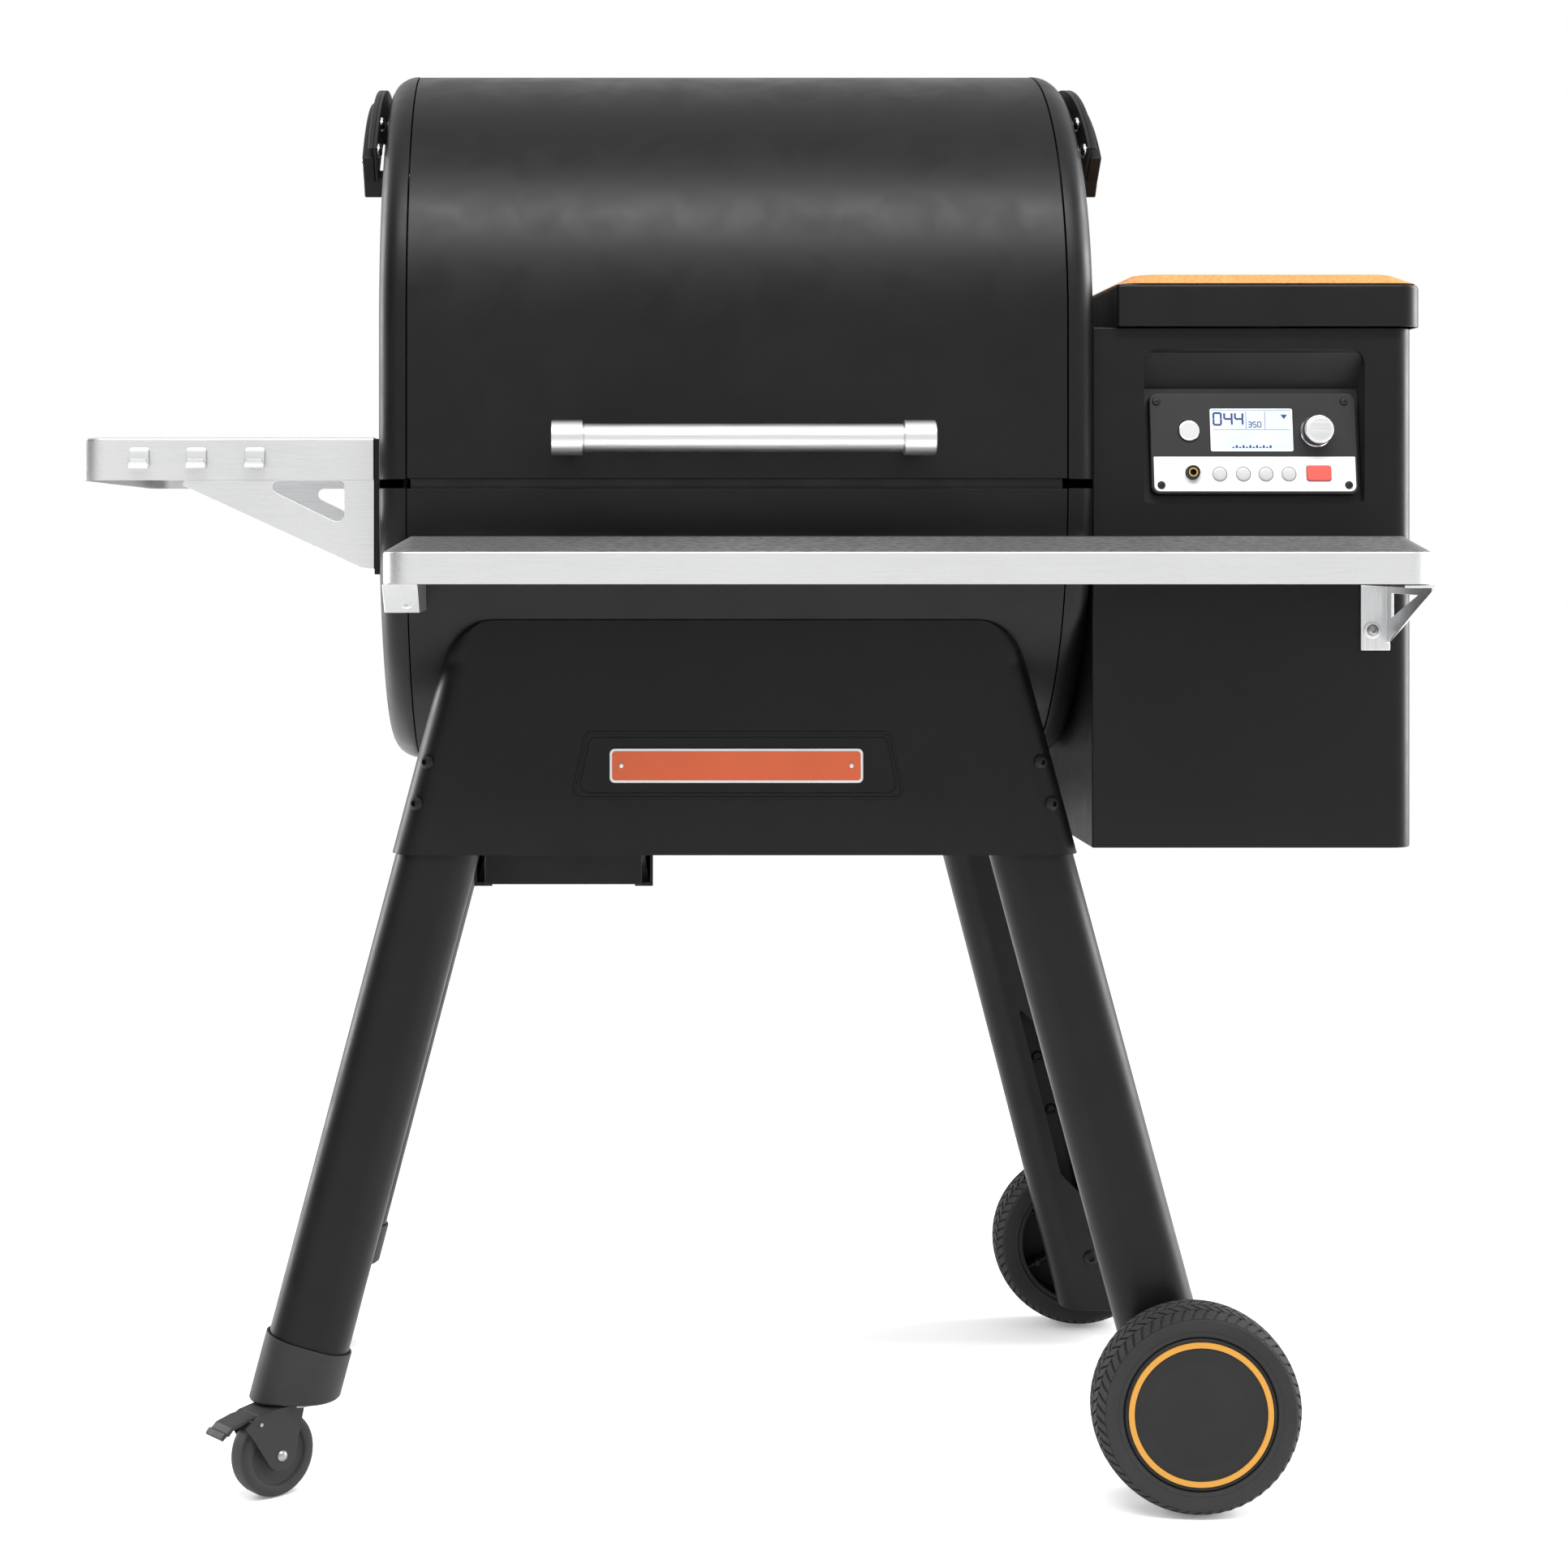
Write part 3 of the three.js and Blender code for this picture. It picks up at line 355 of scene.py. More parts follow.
# ---------------------------------------------------------------- outlines and solids
def rounded(points, radius, steps=6):
    """A polygon with its corners rounded. radius is one number or one for each corner."""
    radii = radius if isinstance(radius, (list, tuple)) else [radius] * len(points)
    outline = []
    for i, corner in enumerate(points):
        p = Vector(corner)
        before = Vector(points[i - 1]) - p
        after = Vector(points[(i + 1) % len(points)]) - p
        turn = before.angle(after)
        r = radii[i]
        if r <= 0 or turn > math.pi - 0.01:
            outline.append(tuple(p))
            continue
        reach = min(r / math.tan(turn / 2), 0.49 * before.length, 0.49 * after.length)
        r = reach * math.tan(turn / 2)
        middle = p + (before.normalized() + after.normalized()).normalized() * (r / math.sin(turn / 2))
        first = p + before.normalized() * reach - middle
        last = p + after.normalized() * reach - middle
        swing = first.angle_signed(last)
        for k in range(steps + 1):
            arm = first.copy()
            arm.rotate(Matrix.Rotation(-swing * k / steps, 2))
            outline.append(tuple(middle + arm))
    return outline


def rectangle(x0, x1, y0, y1):
    return [(x0, y0), (x1, y0), (x1, y1), (x0, y1)]


def arc(cx, cy, r, start, end, steps):
    """Points on a circle, from start to end degrees."""
    angles = [math.radians(start + (end - start) * i / steps) for i in range(steps + 1)]
    return [(cx + r * math.cos(a), cy + r * math.sin(a)) for a in angles]


def point_on(axis, along, u, v):
    """A point from its place along an axis and the other two coordinates in order."""
    return {"x": (along, u, v), "y": (u, along, v), "z": (u, v, along)}[axis]


def loft(rings, closed=True, caps=True, loop=False):
    """A skin over rings of equal length. loop also joins the last ring to the first."""
    bm = bmesh.new()
    rows = [[bm.verts.new(p) for p in ring] for ring in rings]
    count = len(rows[0])
    pairs = list(zip(rows, rows[1:])) + ([(rows[-1], rows[0])] if loop else [])
    for a, b in pairs:
        for i in range(count if closed else count - 1):
            j = (i + 1) % count
            bm.faces.new((a[i], a[j], b[j], b[i]))
    if caps and not loop:
        bm.faces.new(rows[0])
        bm.faces.new(rows[-1])
    return bm


def prism(outline, start, end, axis="x"):
    """An outline pushed along an axis."""
    return loft([[point_on(axis, at, u, v) for u, v in outline] for at in (start, end)])


def slab(x0, x1, y0, y1, z0, z1):
    return prism(rectangle(x0, x1, y0, y1), z0, z1, "z")


def turned(profile, axis="y", at=(0, 0, 0), segments=48):
    """A profile of (radius, height) pairs turned about an axis. Its two ends on the axis close it."""
    bm = bmesh.new()
    rows = []
    for r, h in profile:
        if r < 1e-6:
            rows.append([bm.verts.new(point_on(axis, h, 0, 0))])
            continue
        ring = []
        for k in range(segments):
            a = 2 * math.pi * k / segments
            ring.append(bm.verts.new(point_on(axis, h, r * math.cos(a), r * math.sin(a))))
        rows.append(ring)
    for a, b in zip(rows, rows[1:]):
        for k in range(segments):
            j = (k + 1) % segments
            if len(a) > 1 and len(b) > 1:
                bm.faces.new((a[k], a[j], b[j], b[k]))
            elif len(b) > 1:
                bm.faces.new((a[0], b[j], b[k]))
            elif len(a) > 1:
                bm.faces.new((a[k], a[j], b[0]))
    bm.transform(Matrix.Translation(at))
    return bm


def ring_of(profile, axis="y", at=(0, 0, 0), segments=48):
    """A closed profile of (radius, height) pairs, clear of the axis, turned about it."""
    return turned([*profile, profile[0]], axis, at, segments)


def lidded(rings):
    """A skin over rings, closed over the last of them and open at the first."""
    skin = loft(rings, caps=False)
    skin.verts.ensure_lookup_table()
    skin.faces.new(skin.verts[-len(rings[0]):])
    bmesh.ops.recalc_face_normals(skin, faces=skin.faces)
    return skin


def moved(bm, matrix):
    bm.transform(matrix)
    return bm


def mirrored(side, back=1):
    """Keeps or flips X and Y, by 1 or -1."""
    return Matrix.Diagonal((side, back, 1, 1))


def level(outline, z):
    return [(x, y, z) for x, y in outline]


def bolt_head(radius, height, socket, matrix):
    """A domed button head on its own +Z, with a hexagonal socket."""
    dome = [(radius * math.cos(a), height * math.sin(a)) for a in [math.pi / 2 * k / 6 for k in range(7)]]
    rim = [(r, h) for r, h in dome if r > socket]
    hex_top = rim[-1][1]
    bm = turned([(0, 0), (radius, 0), *rim[1:], (socket, hex_top)], "z", segments=24)
    mouth = [v for v in bm.verts if abs(v.co.z - hex_top) < 1e-4 and v.co.xy.length < socket * 1.01]
    for v in mouth:
        a = math.atan2(v.co.y, v.co.x)
        corner = math.cos(math.pi / 6) / math.cos((a % (math.pi / 3)) - math.pi / 6)
        v.co.xy = Vector((math.cos(a), math.sin(a))) * socket * corner
    ring = sorted(mouth, key=lambda v: math.atan2(v.co.y, v.co.x))
    floor = [bm.verts.new((v.co.x, v.co.y, hex_top - height * 0.55)) for v in ring]
    for k in range(len(ring)):
        j = (k + 1) % len(ring)
        bm.faces.new((ring[k], ring[j], floor[j], floor[k]))
    bm.faces.new(floor)
    bm.transform(matrix)
    return bm


def facing(point, direction):
    """A matrix that puts +Z along a direction at a point."""
    return Matrix.Translation(point) @ Vector(direction).to_track_quat("Z", "Y").to_matrix().to_4x4()


def refined(node, material, body, bevel=0.6, angle=32):
    """A CAD node's own shape with merged flats, softened edges and a finish."""
    bm = bmesh.new()
    bm.from_mesh(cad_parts[node].data)
    bm.transform(TO_MM)
    bmesh.ops.remove_doubles(bm, verts=bm.verts, dist=0.01)
    bmesh.ops.dissolve_limit(bm, angle_limit=math.radians(0.5), verts=bm.verts, edges=bm.edges)
    return made(node + "_look", bm, material, body, stands_for=(node,), bevel=bevel, angle=angle)


ENDS = (("front", 1), ("rear", -1))
HANDS = (("left", -1), ("right", 1))


# ---------------------------------------------------------------- barrel: lid, body and their ends
lid_low, lid_high = box_mm("lid_shell")
R = -lid_low.y
HIGH_Z = lid_high.z - R
LOW_Z = box_mm("body_cap_left")[0].z + R + 0.5
SEAM_X = lid_high.x
END_X = box_mm("lid_cap_right")[1].x
LID_EDGE = lid_low.z
BODY_EDGE = LID_EDGE - 8
SEAM_TURN = -200
SEAM_SLOPE = 334 / 364
ROUND = 24
SHEET = 2.5
PIVOT = (164, 1220)
FAR = 420


def stadium(r):
    return arc(0, HIGH_Z, r, 0, 180, 40) + arc(0, LOW_Z, r, 180, 360, 40)


def seam_height(y, edge):
    return edge + max(0, y - SEAM_TURN) * SEAM_SLOPE


def seam_angle(r, edge):
    """Degrees on the upper circle, from the back, where the seam crosses it."""
    angle = 0.0
    while HIGH_Z + r * math.sin(math.radians(angle)) < seam_height(r * math.cos(math.radians(angle)), edge):
        angle += 0.1
    return angle


def region(edge, up):
    """The space above or below the seam, as a tool."""
    far = 1900 if up else 300
    line = [(-FAR, edge), (SEAM_TURN, edge), (FAR, seam_height(FAR, edge))]
    return prism([*line, (FAR, far), (-FAR, far)], -FAR, FAR)


def shell_sheet(profile, x0, x1):
    return loft([[(x, y, z) for y, z in profile] for x in (x0, x1)], closed=False, caps=False)


def dish(side):
    """A pressed end: a rim over the shell's edge, a rounded corner and a flat face."""
    def skin(r, end, round_off, start):
        rings = [(start, r), (end - round_off, r)]
        for k in range(1, 9):
            a = math.pi / 2 * k / 8
            rings.append((end - round_off * (1 - math.sin(a)), r - round_off * (1 - math.cos(a))))
        return [[(side * x, y, z) for y, z in stadium(rr)] for x, rr in rings]

    outer = skin(R + 0.5, END_X, ROUND, SEAM_X + 1)
    inner = skin(R - SHEET, END_X - SHEET, ROUND - SHEET, SEAM_X + 1)
    return loft(inner[::-1] + outer)


def barrel():
    lid_profile = [(-R, LID_EDGE + 0.5)] + arc(0, HIGH_Z, R, 180, seam_angle(R, LID_EDGE), 96)
    lid_sheet = shell_sheet(lid_profile[::-1], -SEAM_X, SEAM_X)
    made("lid_skin", lid_sheet, PAINT, "lid", ("lid_shell",), bevel=0.7, solid=SHEET, angle=40)
    body_profile = arc(0, LOW_Z, R, 180.3, 360, 96)
    body_profile += arc(0, HIGH_Z, R, 0, seam_angle(R, BODY_EDGE), 24)
    body_sheet = shell_sheet(body_profile, -SEAM_X, SEAM_X)
    body = made("body_skin", body_sheet, PAINT, "frame", ("body_shell",), bevel=0.7, solid=SHEET, angle=40)
    drain_x = (box_mm("grease_box")[0].x + box_mm("grease_box")[1].x) / 2
    drain = turned([(0, 600), (19, 600), (19, 660), (0, 660)], "z", (drain_x, 0, 0))
    exhaust_slot = slab(-180, 180, 240, 262, 955, 982)
    cut(body, drain, exhaust_slot)
    shade(body, 40)
    liner, half = [(-R + 8, 906), (-R + 8, LOW_Z), (-R + 8.8, 864)], SEAM_X - 3
    made("seam_liner", shell_sheet(liner, -half, half), SOCKET, "frame", bevel=0.4, solid=2)
    made("liner_web", slab(-half, half, -R + 3.4, -R + 8, 861.4, 863.6), SOCKET, "frame", bevel=0.4)
    pipe = ring_of([(19.2, 562), (22, 562), (22, 632), (19.2, 632)], "z", (drain_x, 0, 0), 40)
    made("drain_spout", pipe, PAINT_DARK, "frame", bevel=0.5)
    for label, side in HANDS:
        lid_cap = made(f"lid_end_{label}", dish(side), PAINT, "lid", (f"lid_cap_{label}",))
        cut(lid_cap, region(LID_EDGE, True), keep=True)
        soften(lid_cap, 0.5, angle=50)
        body_cap = made(f"body_end_{label}", dish(side), PAINT, "frame", (f"body_cap_{label}",))
        cut(body_cap, region(BODY_EDGE, False), keep=True)
        soften(body_cap, 0.5, angle=50)
        hinge(label, side)
        grate_posts(label, side)


def grate_posts(label, side):
    """The uprights inside each end that carry the three grates."""
    grates = [box_mm(name)[0].z for name in ("grate_lower", "grate_middle", "grate_upper")]
    front, back = -125, 150
    parts = [slab(296, 300, y - 10, y + 10, 760, 1090) for y in (front, back)]
    parts += [slab(283, 298, y - 8, y + 8, z - 6, z - 0.3) for y in (front, back) for z in grates]
    parts += [slab(296, 300, front, back, z - 8, z + 8) for z in (800, 1080)]
    parts += [slab(298, 312, y - 12, y + 12, 788, 806) for y in (-90, 110)]
    turn = mirrored(side)
    joined(f"grate_posts_{label}", parts, ENAMEL, "frame", bevel=0.6, matrix=turn)


ARM_IN, ARM_OUT, ARM_X, COVER_X, BORE = 203, 243, 321, 335, 5.4


def hinge(label, side):
    """The lid's arm with its cover and dome bolts, and the body's bracket and pin."""
    turn = mirrored(side)
    y, z = PIVOT
    front, back = 137, 60
    strap = arc(0, HIGH_Z, ARM_OUT, front, back, 36) + arc(0, HIGH_Z, ARM_IN, back, front, 36)
    plate = prism(strap, ARM_X, ARM_X + 3)
    tail = rounded([(96, 1210), (122, 1236), (168, 1234), (178, 1212), (150, 1190), (104, 1190)], 8)
    ring = [(BORE, ARM_X), (14, ARM_X), (14, ARM_X + 4.5), (BORE, ARM_X + 4.5)]
    eye = ring_of(ring, "x", (0, y, z), 32)
    cover = arc(0, HIGH_Z, ARM_OUT - 12, front, 92, 30) + arc(0, HIGH_Z, ARM_IN, 98, front, 30)
    housing = prism(cover, ARM_X + 2.9, COVER_X)
    lip = prism(arc(0, HIGH_Z, ARM_OUT, front, back, 36) + arc(0, HIGH_Z, ARM_OUT - 3, back, front, 36),
                ARM_X + 2.9, ARM_X + 8)
    stop = prism(rounded([(-150, 1166), (-138, 1150), (-126, 1160), (-140, 1176)], 2), ARM_X - 5, COVER_X)
    arm = made(f"hinge_strap_{label}", plate, PAINT_DARK, "lid", (f"hinge_arm_{label}",), bevel=0.5,
               matrix=turn)
    tail = made(f"hinge_link_{label}", prism(tail, ARM_X + 3, ARM_X + 4.4), PAINT_DARK, "lid", bevel=0.4,
                matrix=turn)
    for piece in (arm, tail):
        cut(piece, moved(prism(arc(y, z, BORE, 0, 345, 23), ARM_X - 2, COVER_X + 5), turn))
        shade(piece, 40)
    joined(f"hinge_cover_{label}", [housing, lip, stop], PAINT_DARK, "lid", bevel=1.6, steps=3, matrix=turn)
    made(f"hinge_eye_{label}", eye, PAINT_DARK, "lid", bevel=0.5, matrix=turn)

    def heads(size, x, way, r, angles):
        places = [arc(0, HIGH_Z, r, a, a, 1)[0] for a in angles]
        return [bolt_head(*size, facing((x, *at), (way, 0, 0))) for at in places]

    bolts = heads((5.6, 3.4, 2.2), COVER_X, 1, ARM_IN + 8, (132, 120, 108))
    bolts += heads((5.6, 3.4, 2.2), ARM_X + 3, 1, ARM_OUT - 7, (129, 114, 99, 84))
    bolts += heads((6.4, 4.2, 1.8), ARM_X, -1, ARM_IN + 27, (134, 122))
    joined(f"hinge_bolts_{label}", bolts, CHROME, "lid", matrix=turn)
    outline = rounded([(70, 1060), (130, 1050), (176, 1150), (177, 1226), (152, 1230), (96, 1132)], 5)
    bracket = prism(outline, END_X + 0.3, ARM_X - 0.3)
    pin = turned([(0, END_X + 1), (5, END_X + 1), (5, 330), (4.2, 331), (0, 331)], "x", (0, y, z), 24)
    joined(f"hinge_bracket_{label}", [bracket, pin], PAINT_DARK, "frame", bevel=0.6, matrix=turn)


def lid_handle():
    low, high = box_mm("lid_handle")
    y, z = low.y + 15, (low.z + high.z) / 2
    left, right, boss = low.x, high.x, 27

    def end(x, way):
        return [(0, x), (13.4, x), (14.6, x + way * 0.4), (15, x + way * 1.6),
                (15, x + way * (boss - 1)), (14.4, x + way * boss)]

    groove = [(11.4, left + boss), (11.4, left + boss + 0.8), (12, left + boss + 1.2)]
    bar = end(left, 1) + groove + [(r, left + right - x) for r, x in groove[::-1]] + end(right, -1)[::-1]
    middles = [left + boss / 2, right - boss / 2]
    back = -R - 0.3
    post = [(0, y), (8, y), (8, back - 7), (9, back - 5), (13, back - 4), (13, back), (0, back)]
    grip = turned(bar, "x", (0, y, z), 64)
    posts = [turned(post, "y", (x, 0, z), 32) for x in middles]
    joined("handle_grip", [grip], STEEL_X, "lid", stands_for=("lid_handle",))
    joined("handle_posts", posts, STEEL_Y, "lid", bevel=0.3)


# ---------------------------------------------------------------- legs, aprons and badge
LEG_HALF, LEG_DEEP, LEG_WALL = 37.5, 26, 3
SLOPE_X, SLOPE_Y = 0.263, 0.05
LEG_TOP = box_mm("leg_front_left")[1].z
LEG_X, LEG_X_AT, LEG_Y, LEG_Y_AT = 278, 505, 208, 560
LEG_SLOT, SLOT_MIDDLE = [(-3, 354), (29, 309), (29, 133), (-3, 178)], 240
EYELETS, APRON_BOLTS = (292, 236), (640.5, 604)


def leg_x(z):
    return LEG_X + SLOPE_X * (LEG_X_AT - z)


def leg_y(z):
    return LEG_Y + SLOPE_Y * (LEG_Y_AT - z)


def oval(z, grow):
    """The front right leg's section at a height, counter-clockwise."""
    flat, r = LEG_HALF - LEG_DEEP, LEG_DEEP + grow
    points = arc(flat, 0, r, -90, 90, 20) + arc(-flat, 0, r, 90, 270, 20)
    return [(leg_x(z) + x, -leg_y(z) + y, z) for x, y in points]


def sleeve(low, high, outer, inner, floor=None, top=lambda x: 0):
    """A hollow length of leg section between two grow values; top raises its upper edge by x."""
    def edge(grow):
        return [(x - SLOPE_X * top(x), y + SLOPE_Y * top(x), z + top(x)) for x, y, z in oval(high, grow)]

    if floor is None:
        return loft([oval(low, inner), oval(low, outer), edge(outer), edge(inner)], loop=True)
    return loft([oval(low, outer - 2), oval(low + 2, outer), edge(outer), edge(inner), oval(floor, inner)])


def legs():
    for end, back in ENDS:
        for hand, side in HANDS:
            turn = mirrored(side, back)
            node = f"leg_{end}_{hand}"
            low = box_mm(node)[0].z
            leg = made(f"leg_tube_{end}_{hand}", sleeve(low, LEG_TOP, 0, -LEG_WALL), PAINT, "frame", (node,),
                       bevel=0.8, matrix=turn)
            if side > 0:
                wheel_end(leg, end, turn)
            else:
                caster_collar(end, turn)
            leg_bolts(end, hand, turn)


def wheel_end(leg, end, turn):
    """The slot in the leg's inner face, the eyelets behind it, and the axle with its head."""
    outline = rounded([(leg_x(z) + u, z) for u, z in LEG_SLOT], 2)
    middle = -leg_y(SLOT_MIDDLE)
    cut(leg, moved(prism(outline, middle, middle + 2 * LEG_DEEP + 8, "y"), turn))
    soften(leg, 0.5, angle=60)
    eyelets = []
    for z in EYELETS:
        at = (leg_x(z) + 10, -leg_y(z) - LEG_DEEP + LEG_WALL, z)
        eyelets.append(ring_of([(3.4, 0), (6.2, 0), (6.2, 1.6), (5.2, 2.4), (3.4, 2.4)], "y", at, 24))
    joined(f"leg_eyelets_{end}", eyelets, PAINT_DARK, "frame", matrix=turn)
    wheel = box_mm("tyre_front")
    x, z = (wheel[0].x + wheel[1].x) / 2, wheel[1].z / 2
    inner = -leg_y(z) + LEG_DEEP
    axle = turned([(0, -306), (7.4, -306), (8, -305), (8, inner - 3), (0, inner - 3)], "y", (x, 0, z), 32)
    head = bolt_head(8.6, 4.6, 3.4, facing((x, inner - 0.6, z), (0, 1, 0)))
    made(f"axle_{end}", axle, ALLOY, "frame", bevel=0.3, matrix=turn)
    made(f"axle_head_{end}", head, PAINT_DARK, "frame", matrix=turn)


def caster_collar(end, turn):
    """The moulded foot on the leg's end, with a slanted rim."""
    def rise(x):
        return (x - leg_x(130)) * SLOPE_X

    collar = sleeve(80, 129.6, 2.8, 0.3, floor=92, top=rise)
    made(f"collar_{end}", collar, PLASTIC, "frame", (f"leg_collar_{end}",), bevel=0.7, matrix=turn)


def leg_bolts(end, hand, turn):
    """Two button heads through the apron into each leg."""
    heads = []
    for z in APRON_BOLTS:
        outer = APRON_OUTER - SLOPE_X * (z - APRON_LOW)
        swing = math.radians(BOLT_SWING[hand])
        out = Vector((math.sin(swing), -math.cos(swing), 0))
        corner = Vector((outer - APRON_BEND, apron_face(z) + APRON_BEND, z))
        heads.append(bolt_head(7, 4.8, 2.7, facing(corner + out * (APRON_BEND - 0.4), out)))
    joined(f"apron_bolts_{end}_{hand}", heads, PAINT_DARK, "frame", matrix=turn)


APRON_LOW, APRON_HIGH, APRON_FLAT, APRON_OUTER, APRON_Y, APRON_WRAP = 559, 766, 213, 304.5, 227.6, 30
APRON_SHEET, APRON_BEND = 3, 27
BOLT_SWING = {"left": 38, "right": 30}


def apron_face(z):
    return -APRON_Y + SLOPE_Y * (z - APRON_HIGH)


def apron_edges():
    """(height, half width) down one side of the apron, from its top edge."""
    def straight(z):
        return APRON_OUTER - SLOPE_X * (z - APRON_LOW)

    curve = [(straight(718), 718), (straight(745), 745)]
    curve += [(straight(APRON_HIGH) - 14, APRON_HIGH), (APRON_FLAT, APRON_HIGH)]
    rows = []
    for k in range(25):
        t = 1 - k / 24
        weights = ((1 - t) ** 3, 3 * t * (1 - t) ** 2, 3 * t * t * (1 - t), t ** 3)
        x = sum(w * p[0] for w, p in zip(weights, curve))
        z = sum(w * p[1] for w, p in zip(weights, curve))
        rows.append((z, x))
    return rows + [(z, straight(z)) for z in (680, 640, 600, 570, APRON_LOW)]


def apron_depth(z):
    """How far the apron's sides reach back from its face before they meet the barrel."""
    room = R + 0.8
    return min(APRON_WRAP, -apron_face(z) - math.sqrt(max(0, room ** 2 - (LOW_Z - z) ** 2)))


def apron_ring(z, half, inset=0.0):
    """The bent sheet's section at a height: round the outside, then back along the inside."""
    y = apron_face(z) + inset
    depth = max(apron_depth(z), 1.0)
    sheet = min(APRON_SHEET, depth * 0.8)
    bend = min(APRON_BEND, depth)

    def around(grow):
        r = bend - grow
        corner = arc(half - inset - bend, y + bend, r, 0, -90, 10)
        side = [(half - inset - grow, y + depth)] + corner
        return side + [(-x, yy) for x, yy in side[::-1]]

    return [(x, yy, z) for x, yy in around(0) + around(sheet)[::-1]]


def apron(end, turn):
    rows = apron_edges()
    rings = [apron_ring(z, half) for z, half in rows[1:]]
    rings.insert(0, apron_ring(rows[0][0], rows[0][1], 0.6))
    made(f"apron_panel_{end}", loft(rings), PAINT, "frame", (f"apron_{end}",), matrix=turn, angle=50)


def ribbon(outline, inset, height, place, name):
    """A low raised line round an outline in (x, z), lying on the apron's face."""
    def loop(offset, lift):
        shrunk = rounded(inset_polygon(outline, offset), max(1.0, 8 - offset), 8)
        return [place(x, z, lift) for x, z in shrunk]

    rings = [loop(0, 0), loop(0.4, height), loop(inset - 0.4, height), loop(inset, 0)]
    made(name, loft(rings, loop=True), PAINT, "frame")


def inset_polygon(points, by):
    """A convex polygon, counter-clockwise, with every side moved in."""
    lines = []
    for i, p in enumerate(points):
        a, b = Vector(p), Vector(points[(i + 1) % len(points)])
        along = (b - a).normalized()
        inward = Vector((-along.y, along.x))
        lines.append((a + inward * by, along))
    moved_points = []
    for (p, d), (q, e) in zip([lines[-1]] + lines[:-1], lines):
        t = ((q - p).x * e.y - (q - p).y * e.x) / (d.x * e.y - d.y * e.x)
        moved_points.append(tuple(p + d * t))
    return moved_points


def badge():
    def place(x, z, lift):
        return (x, apron_face(z) - lift, z)

    outline = [(-146, 608), (149.5, 608), (137.5, 668), (-133, 668)]
    ribbon(outline, 2.6, 0.9, place, "apron_relief")
    ribbon(inset_polygon(outline, 5), 1.4, 0.5, place, "apron_relief_inner")
    plate = rounded(rectangle(-111.4, 112.2, 622.7, 652.8), 4.5, 8)
    field = rounded(rectangle(-109.2, 110, 624.9, 650.6), 3, 8)

    def sheet_of(points, start, height):
        return loft([[place(x, z, lift) for x, z in points] for lift in (start, height)])

    made("badge_plate", sheet_of(plate, 0, 1.8), STEEL_X, "frame", bevel=0.5)
    made("badge_field", sheet_of(field, 1.8, 2.3), BADGE_RED, "frame", bevel=0.2)
    middle = 637.7
    for label, x in (("left", -101), ("right", 101.8)):
        stud = turned([(0, 2.3), (2.2, 2.3), (1.8, 3.1), (0, 3.4)], "z", segments=20)
        at = facing((x, apron_face(middle), middle), (0, -1, SLOPE_Y))
        made(f"badge_stud_{label}", moved(stud, at), STEEL_X, "frame")


def aprons():
    for end, back in ENDS:
        apron(end, mirrored(1, back))
    badge()


# ---------------------------------------------------------------- shelves
def front_shelf():
    low, high = box_mm("front_shelf")
    left, right, front = low.x, high.x, low.y
    lip, fold = 827, 24

    def plan(inset, z):
        edges = rectangle(left + inset, right - inset, front + inset, -front)
        return level(rounded(edges, max(3, 27 - inset), 8), z)

    rings = [plan(0, low.z), plan(0, lip - 1.6), plan(0.5, lip - 0.4), plan(1.8, lip + 0.6)]
    rings += [plan(fold - 1.5, high.z - 0.7), plan(fold + 0.5, high.z)]
    shelf = made("front_shelf_pan", lidded(rings), STEEL_X, "frame", ("front_shelf",), solid=2)
    step = box_mm("hopper_casing")[0].x + 1.5
    back, deep_back = -R - 1, box_mm("hopper_casing")[0].y - 1
    room = [(left - 5, front - 5), (right + 5, front - 5), (right + 5, deep_back), (step, deep_back),
            (step, back), (left - 5, back)]
    cut(shelf, prism(room, low.z - 5, high.z + 5, "z"), keep=True)
    soften(shelf, 0.4, angle=60)
    # The upward faces take the darker steel: a painted reflection of the barrel above.
    shelf.data.materials.append(STEEL_TOP_PAINTED_REFLECTION)
    for face in shelf.data.polygons:
        if face.normal.z > 0.5:
            face.material_index = 1


def shelf_brackets():
    left, right = box_mm("shelf_bracket_left")[0], box_mm("shelf_bracket_right")[0]
    places = (("left", left.x + 19, left.y + 26, 786), ("right", right.x + 10, -228.6, 757))
    for label, *_ in places:
        refined(f"shelf_bracket_{label}", STEEL_Z, "frame", 0.8)
    for label, x, y, z in places:
        out = facing((x, y, z), (0, -1, 0))
        washer = turned([(0, 0), (7.4, 0), (7.4, 0.8), (6.8, 1.2), (0, 1.2)], "z", segments=32)
        made(f"bracket_washer_{label}", moved(washer, out), STEEL_Z, "frame")
        head = bolt_head(5.2, 3.4, 2.3, facing((x, y - 1.2, z), (0, -1, 0)))
        made(f"bracket_bolt_{label}", head, ALLOY, "frame")


